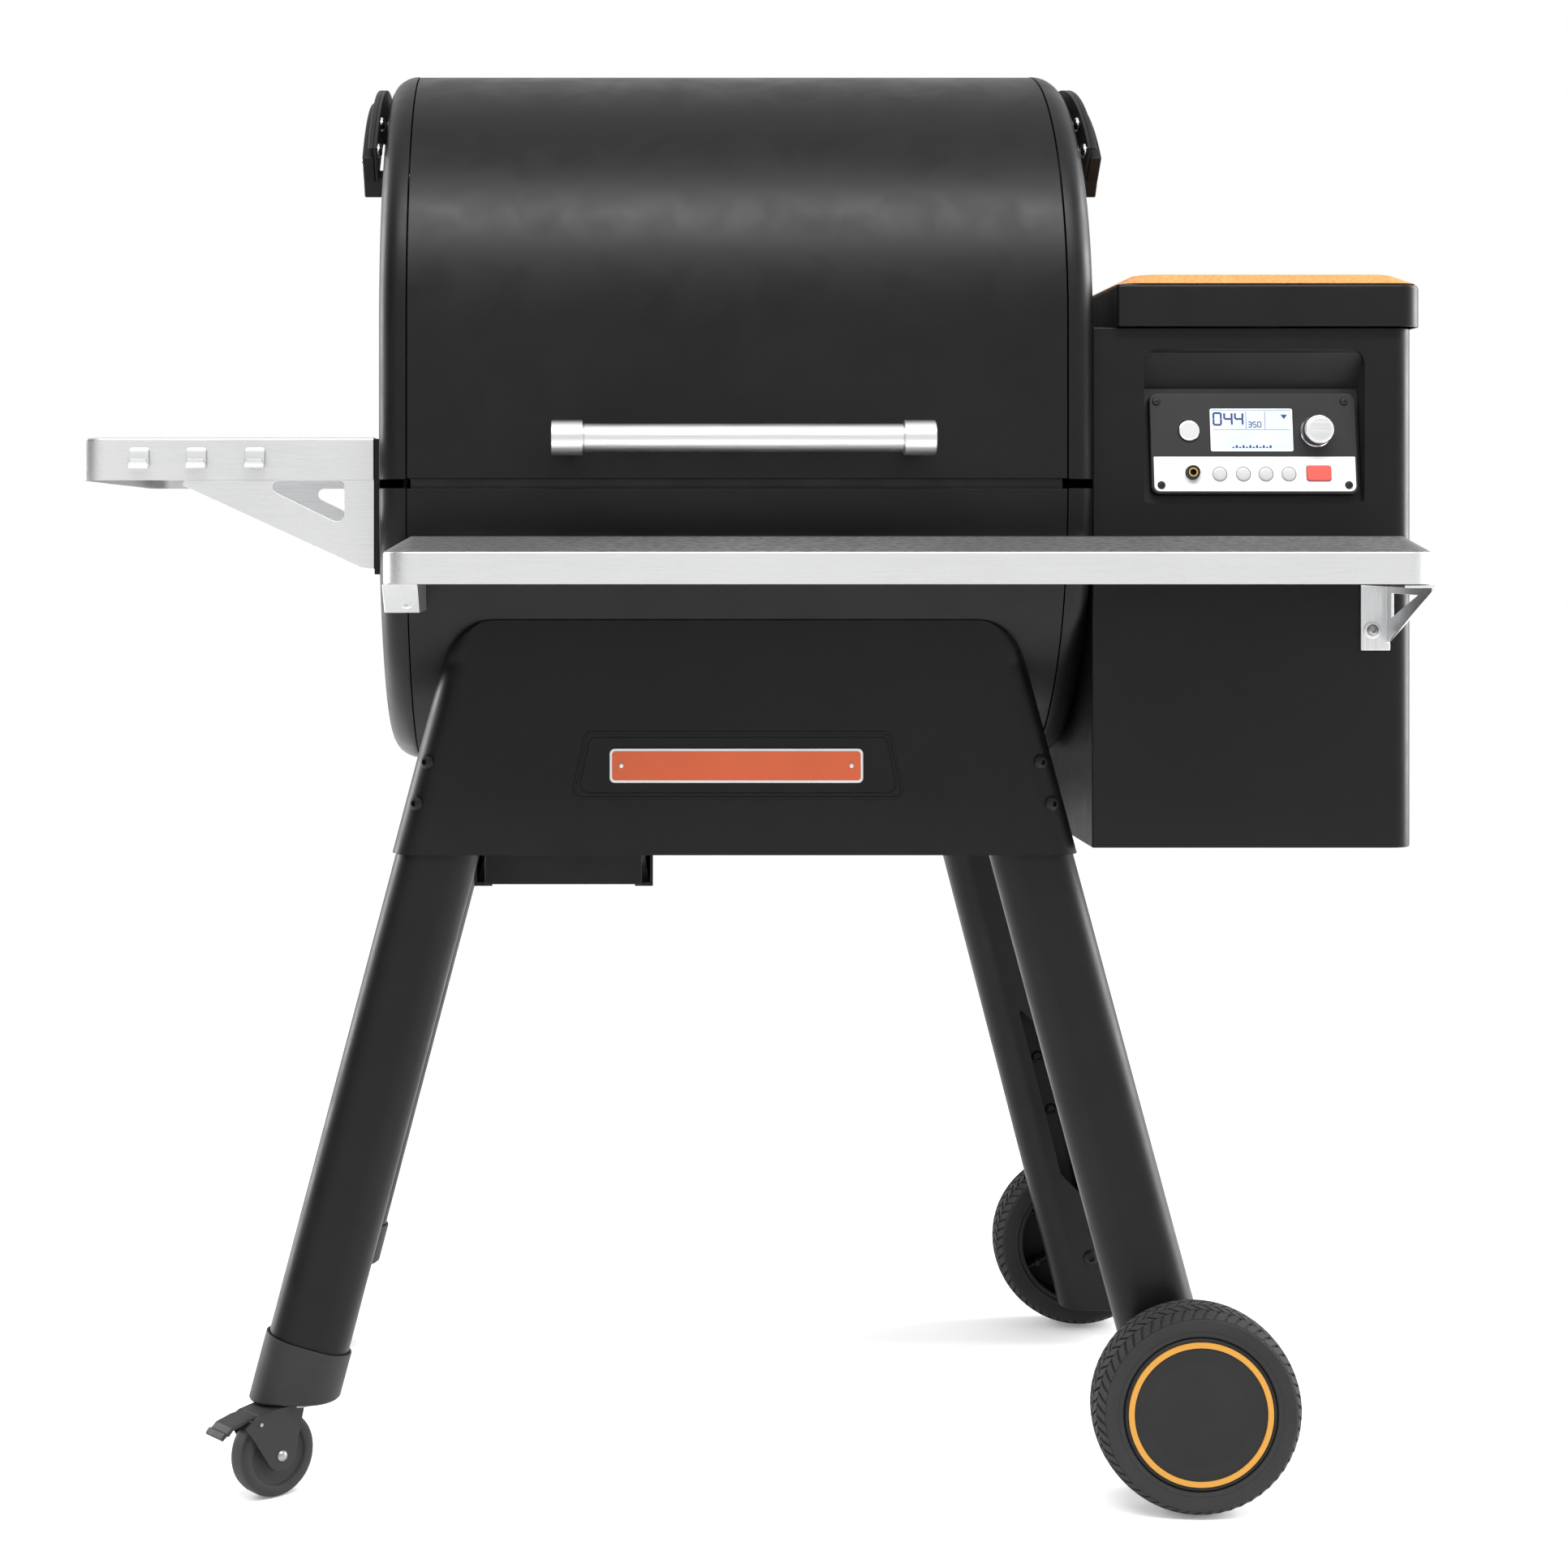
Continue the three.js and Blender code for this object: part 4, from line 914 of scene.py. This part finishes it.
def side_shelf():
    low, high = box_mm("side_shelf")
    left, right, half = low.x, high.x, 209
    skirt = 890

    def plan(inset, z):
        radii = [max(2, 25 - inset), 1, 1, max(2, 25 - inset)]
        return level(rounded(rectangle(left + inset, right, -half + inset, half - inset), radii, 8), z)

    rings = [plan(0, skirt), plan(0, high.z - 3), plan(0.9, high.z - 0.9), plan(3, high.z)]
    made("side_shelf_tray", lidded(rings), STEEL_X, "frame", ("side_shelf",), solid=2, bevel=0.3)
    gusset = rounded([(-502, skirt + 0.2), (-332, 812), (right, low.z), (right, skirt + 0.2)], [3, 8, 0, 0])
    window = rounded([(-431, skirt - 0.2), (-347.5, 849), (-347.5, skirt - 0.2)], [6, 7, 4])
    for label, y in (("front", -half), ("back", half - 2)):
        side = made(f"side_gusset_{label}", prism(gusset, y, y + 2, "y"), STEEL_X, "frame")
        cut(side, prism(window, y - 3, y + 5, "y"))
        soften(side, 0.3, angle=60)
    flanges = [slab(right - 2, right, y, y + 18, low.z, skirt) for y in (-half + 2.2, half - 20.2)]
    joined("side_flanges", flanges, STEEL_Z, "frame", bevel=0.3)
    for k, x in enumerate((-530, -479, -427)):
        tool_hook(k, x, -half)


def tool_hook(number, x, face):
    """A tab bent out of the shelf's side and up into a hook."""
    wide = 8.6
    path = [(0.2, 918), (1.6, 917), (2.4, 914), (2.6, 906), (3.4, 902.4), (5.4, 900.6), (8, 900.4),
            (10.4, 901.8), (11.4, 904.6), (11.6, 908.4)]
    rings = []
    for i, (out, z) in enumerate(path):
        half = wide - (1.8 if i in (0, len(path) - 1) else 0)
        rings.append([(x - half, face - out, z), (x + half, face - out, z)])
    hook = loft(rings, closed=False, caps=False)
    made(f"tool_hook_{number + 1}", hook, STEEL_X, "frame", solid=1.6, bevel=0.4)


# ---------------------------------------------------------------- hopper
def hopper():
    low, high = box_mm("hopper_casing")
    left, right, front, back = low.x, high.x, low.y, high.y

    def walls(inset, z):
        radii = [2, 20 - inset, 20 - inset, 2]
        edges = rectangle(left + inset, right - inset, front + inset, back - inset)
        return level(rounded(edges, radii, 10), z)

    shell = loft([walls(0, low.z), walls(0, high.z), walls(SHEET, high.z), walls(SHEET, low.z + SHEET)])
    casing = made("hopper_walls", shell, PAINT, "frame", ("hopper_casing",), bevel=1.4, steps=3, angle=50)
    p_left, p_right, p_low, ridge, p_high = 362, 557, 869, 972, 1006
    wedge = [(-240, p_low), (-214.3, p_low), (-199.3, ridge), (front, p_high), (-240, p_high)]
    opening = rounded(rectangle(p_left, p_right, p_low, p_high), [5, 5, 13, 13], 8)
    scoop = made("scoop", prism(wedge, p_left, p_right), PAINT, "frame")
    cut(scoop, prism(opening, -300, -150, "y"), keep=True)
    face = front + SHEET - 0.1
    backing = [(face, p_low - 3), (-211.3, p_low - 3), (-196.1, ridge + 1), (face, p_high + 4)]
    pan = made("controller_pocket", prism(backing, p_left - 3, p_right + 3), PLASTIC, "frame")
    cut(pan, as_tool(scoop))
    auger_z = 690
    holes = [prism(arc(0, auger_z, 33, 0, 345, 23), 300, 330), prism(arc(100, 640, 30, 0, 345, 23), 300, 330),
             slab(438, 482, 220, 230, 598, 632)]
    cut(casing, as_tool(scoop), *holes)
    bpy.data.objects.remove(scoop)
    soften(pan, 1.2, 3, angle=40)
    shade(casing, 44)
    hopper_lid()
    refined("hopper_bin", STEEL_Z, "frame", 0.6)


def as_tool(piece):
    bm = bmesh.new()
    bm.from_mesh(piece.data)
    bm.transform(TO_MM)
    return bm


def hopper_lid():
    low, high = box_mm("hopper_lid")
    left, right, front, back = low.x, high.x, low.y, high.y

    def plan(inset, z):
        radii = [3, max(2, 22 - inset), max(2, 22 - inset), 3]
        edges = rectangle(left + inset, right - inset, front + inset, back - inset)
        return level(rounded(edges, radii, 10), z)

    rings = [plan(0, low.z), plan(0, high.z - 3.4), plan(0.9, high.z - 1.1), plan(3.2, high.z)]
    made("hopper_cover", lidded(rings), PAINT, "hopper_door", ("hopper_lid",), solid=SHEET, bevel=0.5)
    top = high.z + 0.3
    board_low, board_high = box_mm("cutting_board")

    def board(inset, z):
        edges = rectangle(board_low.x + inset, board_high.x - inset, board_low.y + inset,
                          board_high.y - inset)
        return level(rounded(edges, 19, 10), z)

    chamfer = (board_high.z - top) * 1.79
    rings = [board(0.6, top), board(0, top + 0.5), board(chamfer - 1, board_high.z - 0.5),
             board(chamfer + 1, board_high.z)]
    made("serving_board", loft(rings), BAMBOO, "board", ("cutting_board",))


# ---------------------------------------------------------------- controller
PANEL = Matrix.Translation((460, -216.9, 923)) @ Matrix.Rotation(math.radians(-8.3), 4, "X")
DIAL, POWER, JACK = (56.3, 0, 10), (-56.3, 0, 11), (-54.3, 0, -26.9)
MENU_X, MENU_Z = (-30.2, -9.3, 10.7, 31.1), -28.3
SEGMENTS = {"0": "abcdef", "3": "abgcd", "4": "fgbc", "5": "afgcd"}


INK_BACK, INK_FACE = 0.36, 0.48


def mark(points):
    """A flat shape standing a hair off the screen."""
    return prism(points, INK_BACK, INK_FACE, "y")


def digit(value, x, z, w, high, t):
    """A seven-segment number, from its lower left corner, width, height and stroke."""
    h = high / 2
    bars = {
        "a": (0, 2 * h, w, 0), "b": (w, h, 0, h), "c": (w, 0, 0, h), "d": (0, 0, w, 0),
        "e": (0, 0, 0, h), "f": (0, h, 0, h), "g": (0, h, w, 0),
    }
    parts = []
    for name in SEGMENTS[value]:
        x0, z0, dx, dz = bars[name]
        gap = t * 0.1
        if dx:
            shape = rectangle(x + x0 + gap, x + x0 + dx - gap, z + z0 - t / 2, z + z0 + t / 2)
        else:
            shape = rectangle(x + x0 - t / 2, x + x0 + t / 2, z + z0 + gap, z + z0 + dz - gap)
        parts.append(mark(shape))
    return parts


def phillips_head(x, z, face):
    profile = [(0, 0.4), (3.5, 0.4), (3.5, -0.5), (2.9, -1.3), (0, -1.7)]
    return turned(profile, "y", (x, face, z), 28)


def panel_piece(name, bm, material, body, stands_for=(), **options):
    return made(name, bm, material, body, stands_for=stands_for, matrix=PANEL, **options)


def wells():
    round_wells = [(*DIAL, 7), (*POWER, 9.6), (*JACK, 6.2)] + [(x, 0, MENU_Z, 6.4) for x in MENU_X]
    tools = [prism(arc(x, z, r + 0.3, 0, 352, 44), -2, 9.5, "y") for x, _, z, r in round_wells]
    tools.append(prism(rounded(rectangle(46.5, 68.9, -34.5, -20.3), 2.3, 5), -2, 9.5, "y"))
    return tools


def controller():
    left, right, low, high = -90.8, 92.8, -46, 44.8
    outline = rounded(rectangle(left, right, low, high), 7, 8)
    bezel = panel_piece("controller_plate", prism(outline, 0, 10, "y"), PANEL_GREY, "frame",
                        ("controller_bezel",), bevel=1.1, steps=3)
    tools = wells() + [prism(rounded(rectangle(-37.4, 36, -7.7, 31), 1.6, 4), -2, 1.5, "y")]
    cut(bezel, *[moved(tool, PANEL) for tool in tools])
    shade(bezel, 44)
    strip_outline = rounded(rectangle(left + 2.4, right - 2.4, low + 2.4, -12.5), [5, 5, 0.6, 0.6], 6)
    strip = panel_piece("controller_strip", prism(strip_outline, -0.45, -0.02, "y"), WHITE, "frame",
                        bevel=0.15)
    cut(strip, *[moved(tool, PANEL) for tool in wells()[2:]])
    shade(strip, 44)
    screen = rounded(rectangle(-36.6, 35.2, -6.9, 30.2), 1.2, 4)
    panel_piece("display_glass", prism(screen, 0.5, 1.3, "y"), SCREEN, "frame", bevel=0.2)
    outer = rounded(rectangle(-37.3, 35.9, -7.6, 30.9), 1.6, 4)
    inner = rounded(rectangle(-36.5, 35.1, -6.8, 30.1), 1.2, 4)
    steps = ((outer, 1.3), (outer, -0.25), (inner, -0.25), (inner, 1.3))
    frame_rings = [[(x, y, z) for x, z in loop] for loop, y in steps]
    panel_piece("display_frame", loft(frame_rings, loop=True), WHITE, "frame")
    marks = []
    for k, value in enumerate("044"):
        marks += digit(value, -34 + 9.6 * k, 16.4, 6.6, 10.6, 1.7)
    for k, value in enumerate("350"):
        marks += digit(value, -3.2 + 4.2 * k, 14.4, 2.8, 4.6, 0.8)
    lines = ((-5.4, -5.0, 12.6, 28.4), (11.4, 11.8, 12.6, 28.4), (-34.6, 33.4, 12, 12.3))
    marks += [mark(rectangle(*line)) for line in lines]
    marks.append(mark([(25.6, 25.6), (28.6, 21.6), (31.6, 25.6)]))
    marks += [mark(rectangle(-18 + 3 * k, -16.2 + 3 * k, -4.6, -3.4 + 1.4 * (k % 2))) for k in range(12)]
    joined("display_marks", marks, INK, "frame", matrix=PANEL)
    for k, (x, z) in enumerate(((-84.6, 37.3), (82.3, 37.3), (-82.2, -38), (84, -38))):
        face = -0.45 if z < 0 else 0
        screw = panel_piece(f"panel_screw_{k + 1}", phillips_head(x, z, face), SOCKET, "frame")
        arms = [slab(x - 2.1, x + 2.1, face - 3, face - 0.7, z - 0.4, z + 0.4),
                slab(x - 0.4, x + 0.4, face - 3, face - 0.7, z - 2.1, z + 2.1)]
        cut(screw, *[moved(a, PANEL) for a in arms])
        shade(screw, 40)
    buttons()


def buttons():
    dial = [(0, -15), (11.6, -15), (12.6, -14.4), (13, -13.2), (13.2, -3.2), (13.5, -2.8), (14, -2.4),
            (14, -0.6), (6.7, -0.6), (6.7, 9), (0, 9)]
    panel_piece("dial", turned(dial, "y", DIAL, 64), CHROME, "knob", ("dial_knob",))
    face = [(0, -15.25), (9.6, -15.25), (9.9, -15.1), (9.9, -14.9), (0, -14.9)]
    panel_piece("dial_face", turned(face, "y", DIAL, 48), STEEL_X, "knob")
    cap = [(0, -2.6), (7.2, -2.5), (8.8, -2.1), (9.5, -1.2), (9.6, 0), (9.6, 8), (0, 8)]
    panel_piece("power_cap", turned(cap, "y", POWER, 48), CHROME, "power", ("power_button",))
    # Menu keys in the grey key material: painted shade over white plastic.
    for k, x in enumerate(MENU_X):
        dome = [(0, -1.6), (4, -1.45), (5.6, -1.1), (6.2, -0.5), (6.4, 0.3), (6.4, 8), (0, 8)]
        panel_piece(f"menu_cap_{k + 1}", turned(dome, "y", (x, 0, MENU_Z), 40), KEY_WHITE_PAINTED_SHADE, f"menu_{k + 1}",
                    (f"menu_button_{k + 1}",))
    cap = rounded(rectangle(46.8, 68.6, -34.2, -20.6), 2.4, 6)
    panel_piece("ignite_cap", prism(cap, -2, 8, "y"), RED, "ignite", ("ignite_button",), bevel=0.8, steps=3,
                angle=50)
    jack = [(2.4, 2), (2.4, -3.4), (4.4, -3.4), (4.8, -5), (5.8, -5), (6.2, -4.4), (6.2, 9), (0, 9), (0, 2),
            (2.4, 2)]
    panel_piece("jack_body", turned(jack, "y", JACK, 40), SOCKET, "frame", ("probe_jack",))
    ring = [(2.5, -3.45), (3.0, -4.2), (4.1, -4.2), (4.35, -3.45)]
    panel_piece("jack_ring", ring_of(ring, "y", JACK, 40), GOLD, "frame")


# ---------------------------------------------------------------- wheels
def wheels():
    for end, back in ENDS:
        low, high = box_mm(f"tyre_{end}")
        middle = (low + high) / 2
        place = Matrix.Translation(middle) @ mirrored(1, back)
        body = f"{end}_wheel"
        made(f"tyre_{end}_look", tyre_body(), TYRE, body, (f"tyre_{end}",), matrix=place, angle=50)
        joined(f"tread_{end}", tread_blocks(), TYRE, body, bevel=0.3, matrix=place)
        hub = [(0, -19.6), (16, -19.9), (28, -20.8), (37, -22.2), (42, -23.2), (44.4, -23.9), (46.4, -24.1),
               (55.6, -24.1), (56.2, -24.6), (56.6, -24.2), (62.4, -23.6), (62.8, -24.4), (64.6, -24),
               (65.7, -22), (65.7, 21.4), (65, 22), (61.6, 22), (61, 21.4), (61, -15), (17, -15), (16.4, 24),
               (8.4, 24), (8.4, -17), (0, -17)]
        made(f"hub_{end}_look", turned(hub, "y", segments=96), HUB_GREY, body, (f"hub_{end}",), matrix=place,
             angle=40)
        band = [(56.9, -24.1), (57.2, -24.9), (57.8, -25.1), (61.2, -25), (61.9, -24.7), (62.1, -23.7)]
        made(f"ring_{end}", ring_of(band, segments=96), RING, body, matrix=place)
        ribs, count = [], 6
        for k in range(count):
            spin = Matrix.Rotation(math.radians(360 / count * (k + 0.5)), 4, "Y")
            ribs.append(moved(slab(16.5, 61.2, -15.2, 6, -1.2, 1.2), spin))
            boss = turned([(0, -15.2), (3.6, -15.2), (3.3, 9), (2.4, 10), (0, 10)], "y", (50, 0, 0), 20)
            ribs.append(moved(boss, spin))
        joined(f"hub_ribs_{end}", ribs, PLASTIC, body, bevel=0.4, matrix=place)


def tread_radius(y):
    """The tyre's crown: nearly flat in the middle, falling at the shoulders."""
    return 88.2 - 1.2 * (abs(y) / 15) ** 2 - 4.2 * max(0, (abs(y) - 15) / 12) ** 2


def tyre_body():
    side = [(66, 22.4), (67, 23.6), (70, 24.4), (70.6, 24), (71.4, 24.6), (76, 26.2), (80, 26.9),
            (81.4, 26.6), (82, 25.6)]
    crown = [(tread_radius(y) - 0.7, y) for y in (24.6, 22, 18, 12, 6, 0)]
    upper = side + crown
    profile = upper + [(r, -y) for r, y in upper[::-1][1:]]
    return ring_of(profile, segments=112)


def tread_blocks(count=56):
    """Rows of slanted blocks round the tyre, each row leaning the other way from the next."""
    step = 2 * math.pi / count
    wide, lean = 0.74, 0.62
    rows = ((-25.4, -16.2), (-15.2, -5.6), (-4.6, 4.6), (5.6, 15.2), (16.2, 25.4))
    blocks = []
    for k in range(count):
        for row, (y0, y1) in enumerate(rows):
            way = lean if row % 2 else -lean
            middle = (y0 + y1) / 2
            shape = [(0, y0), (wide, y0), (wide + way / 2, middle), (wide + way, y1), (way, y1),
                     (way / 2, middle)]
            rings = []
            for lift in (-1.8, 1.2):
                ring = []
                for part, y in shape:
                    angle = (k + part) * step
                    r = tread_radius(y) + min(lift, 90 - tread_radius(y))
                    ring.append((r * math.cos(angle), y, r * math.sin(angle)))
                rings.append(ring)
            blocks.append(loft(rings))
    return blocks


# ---------------------------------------------------------------- casters
CASTER_X, CASTER_Y = 388, 232


def casters():
    for end, back, yaw in (("front", 1, -140.3), ("rear", -1, -100)):
        stem = Matrix.Translation((-CASTER_X, -CASTER_Y * back, 0))
        place = stem @ Matrix.Rotation(math.radians(yaw), 4, "Z")
        trail, r = 25, 37.5
        cheek = rounded([(1, 79.4), (30, 79.4), (50, 76), (62, 69), (37.5, 30), (31, 25.2), (19, 25.2),
                         (12, 34)], [3, 8, 10, 2, 8, 6, 6, 8], 5)
        cheeks = [prism(cheek, y, y + 2.5, "y") for y in (-16, 13.5)]
        arch = rounded([(0, 79.4), (30, 79.4), (49, 76.3), (48, 73.6), (30, 76.8), (0, 76.8)], 1)
        crown = prism(arch, -14, 14, "y")
        joined(f"caster_cheeks_{end}", cheeks + [crown], PLASTIC, f"{end}_caster", bevel=0.6,
               stands_for=(f"caster_fork_{end}",), matrix=place)
        race = [(0, 75.4), (17, 75.4), (19, 76.4), (19, 79), (18.4, 79.6), (6, 79.6), (6, 117), (5, 118),
                (0, 118)]
        made(f"caster_stem_{end}", turned(race, "z", segments=40), ALLOY, f"{end}_caster", matrix=place)
        axle = [(0, -18.6), (2.6, -18.3), (4.4, -17.2), (4.9, -16), (4, -16), (4, 16), (4.9, 16), (4.4, 17.2),
                (2.6, 18.3), (0, 18.6)]
        pin = [(0, -17.4), (1.6, -17.2), (2, -16), (2, 16), (1.6, 17.2), (0, 17.4)]
        bars = [turned(axle, "y", (trail, 0, r), 28), turned(pin, "y", (47, 0, 69), 16)]
        joined(f"caster_axle_{end}", bars, ALLOY, f"{end}_caster", matrix=place)
        wheel = [(4.4, -12), (12.4, -12), (13.4, -11), (14.4, -9), (20, -8.4), (26, -9), (27, -10.6),
                 (28.2, -11.8), (33, -12), (35.4, -11), (36.8, -9), (37.5, -5.6)]
        profile = wheel + [(rr, -y) for rr, y in wheel[::-1]]
        made(f"caster_tread_{end}", ring_of(profile, "y", (trail, 0, r), 64), CASTER_RUBBER,
             f"{end}_caster_wheel", (f"caster_wheel_{end}",), matrix=place)
        pedal = rounded([(46.4, 76.3), (60, 75), (75, 71), (80, 66.6), (82, 67.8), (86, 63), (84, 60.8),
                         (79.6, 64.4), (77.6, 63.8), (73.5, 68), (59, 72), (46.4, 73.6)], 1.1, 3)
        made(f"brake_pad_{end}", prism(pedal, -13, 13, "y"), PLASTIC, f"{end}_brake", (f"brake_pedal_{end}",),
             bevel=0.8, matrix=place)


# ---------------------------------------------------------------- what lies under, behind and inside
def plain_nodes():
    """CAD nodes whose own shape is right, given soft edges and their finish."""
    finishes = {
        "grate_lower": (ENAMEL, 0.8), "grate_middle": (ENAMEL, 0.8), "grate_upper": (ENAMEL, 0.8),
        "drip_tray": (PAINT_DARK, 0.5), "heat_baffle": (PAINT_DARK, 0.5), "fire_pot": (IRON, 0.8),
        "auger_tube": (STEEL_X, 0.4), "auger_motor": (ALLOY, 1.5), "fan_housing": (PLASTIC, 0.8),
        "side_shelf_mount": (PAINT, 0.8), "grease_rack": (PAINT_DARK, 0.5),
        "exhaust_duct": (PAINT, 0.6), "power_inlet": (SOCKET, 0.6),
    }
    for node, (material, bevel) in finishes.items():
        refined(node, material, "frame", bevel)
    refined("auger_screw", STEEL_X, "auger", 0.0, angle=40)
    refined("fan_rotor", PLASTIC, "fan", 0.4)
    refined("grease_box", PAINT_DARK, "grease_drawer", 0.8)


# ---------------------------------------------------------------- floor, light and camera
def studio():
    scene = bpy.context.scene
    scene.view_settings.view_transform = "Standard"
    floor = bpy.data.objects.new("floor", bpy.data.meshes.new("floor"))
    bm = bmesh.new()
    bm.faces.new([bm.verts.new(point) for point in level(rectangle(-30, 30, -30, 30), 0)])
    bm.to_mesh(floor.data)
    bm.free()
    scene.collection.objects.link(floor)
    n = Nodes("pale_floor")
    tone = n.mix(n.span(n.noise(1.5, 2), 0, 1), (0.89, 0.89, 0.89), (0.91, 0.91, 0.91))
    n.set(Base_Color=tone, Roughness=0.9, Emission_Strength=0.16)
    n.shader.inputs["Emission Color"].default_value = (1, 1, 1, 1)
    floor.data.materials.append(n.material)
    world = bpy.data.worlds.new("studio")
    world.use_nodes = True
    nodes, links = world.node_tree.nodes, world.node_tree.links
    sky = nodes["Background"]
    sky.inputs["Color"].default_value = (1, 1, 1, 1)
    direction = nodes.new("ShaderNodeTexCoord")
    split = nodes.new("ShaderNodeSeparateXYZ")
    flag = nodes.new("ShaderNodeMapRange")
    for key, number in (("From Min", -0.92), ("From Max", -0.62), ("To Min", 0.08), ("To Max", 1.0)):
        flag.inputs[key].default_value = number
    links.new(direction.outputs["Generated"], split.inputs["Vector"])
    links.new(split.outputs["X"], flag.inputs["Value"])
    links.new(flag.outputs["Result"], sky.inputs["Strength"])
    scene.world = world
    lamp("top_soft", (0, -1.75, 3.1), (0, 0.0, 1.1), (3.4, 0.5), 120)
    lamp("left_soft", (-3.0, 1.6, 1.4), (-0.3, 0, 0.7), (0.8, 2.6), 110)
    lamp("right_soft", (3.4, 0.7, 1.5), (0.3, 0, 0.7), (1.6, 2.6), 180)
    camera = bpy.data.cameras.new("photo")
    camera.lens = 63.82
    camera.sensor_width = 36
    camera.shift_x = 0.1263
    camera.shift_y = -0.1558
    camera.clip_start = 0.05
    seat = bpy.data.objects.new("photo", camera)
    scene.collection.objects.link(seat)
    seat.location = TO_ROW @ Vector((-132.2, -2686, 837))
    seat.rotation_euler = (math.radians(90), 0, 0)
    scene.camera = seat


def lamp(name, at, aim, size, power):
    data = bpy.data.lights.new(name, "AREA")
    data.shape = "RECTANGLE"
    data.size, data.size_y = size
    data.energy = power
    light = bpy.data.objects.new(name, data)
    bpy.context.scene.collection.objects.link(light)
    light.location = at
    light.rotation_euler = (Vector(aim) - Vector(at)).to_track_quat("-Z", "Y").to_euler()


studio()
barrel()
lid_handle()
legs()
aprons()
front_shelf()
shelf_brackets()
side_shelf()
hopper()
controller()
wheels()
casters()
plain_nodes()
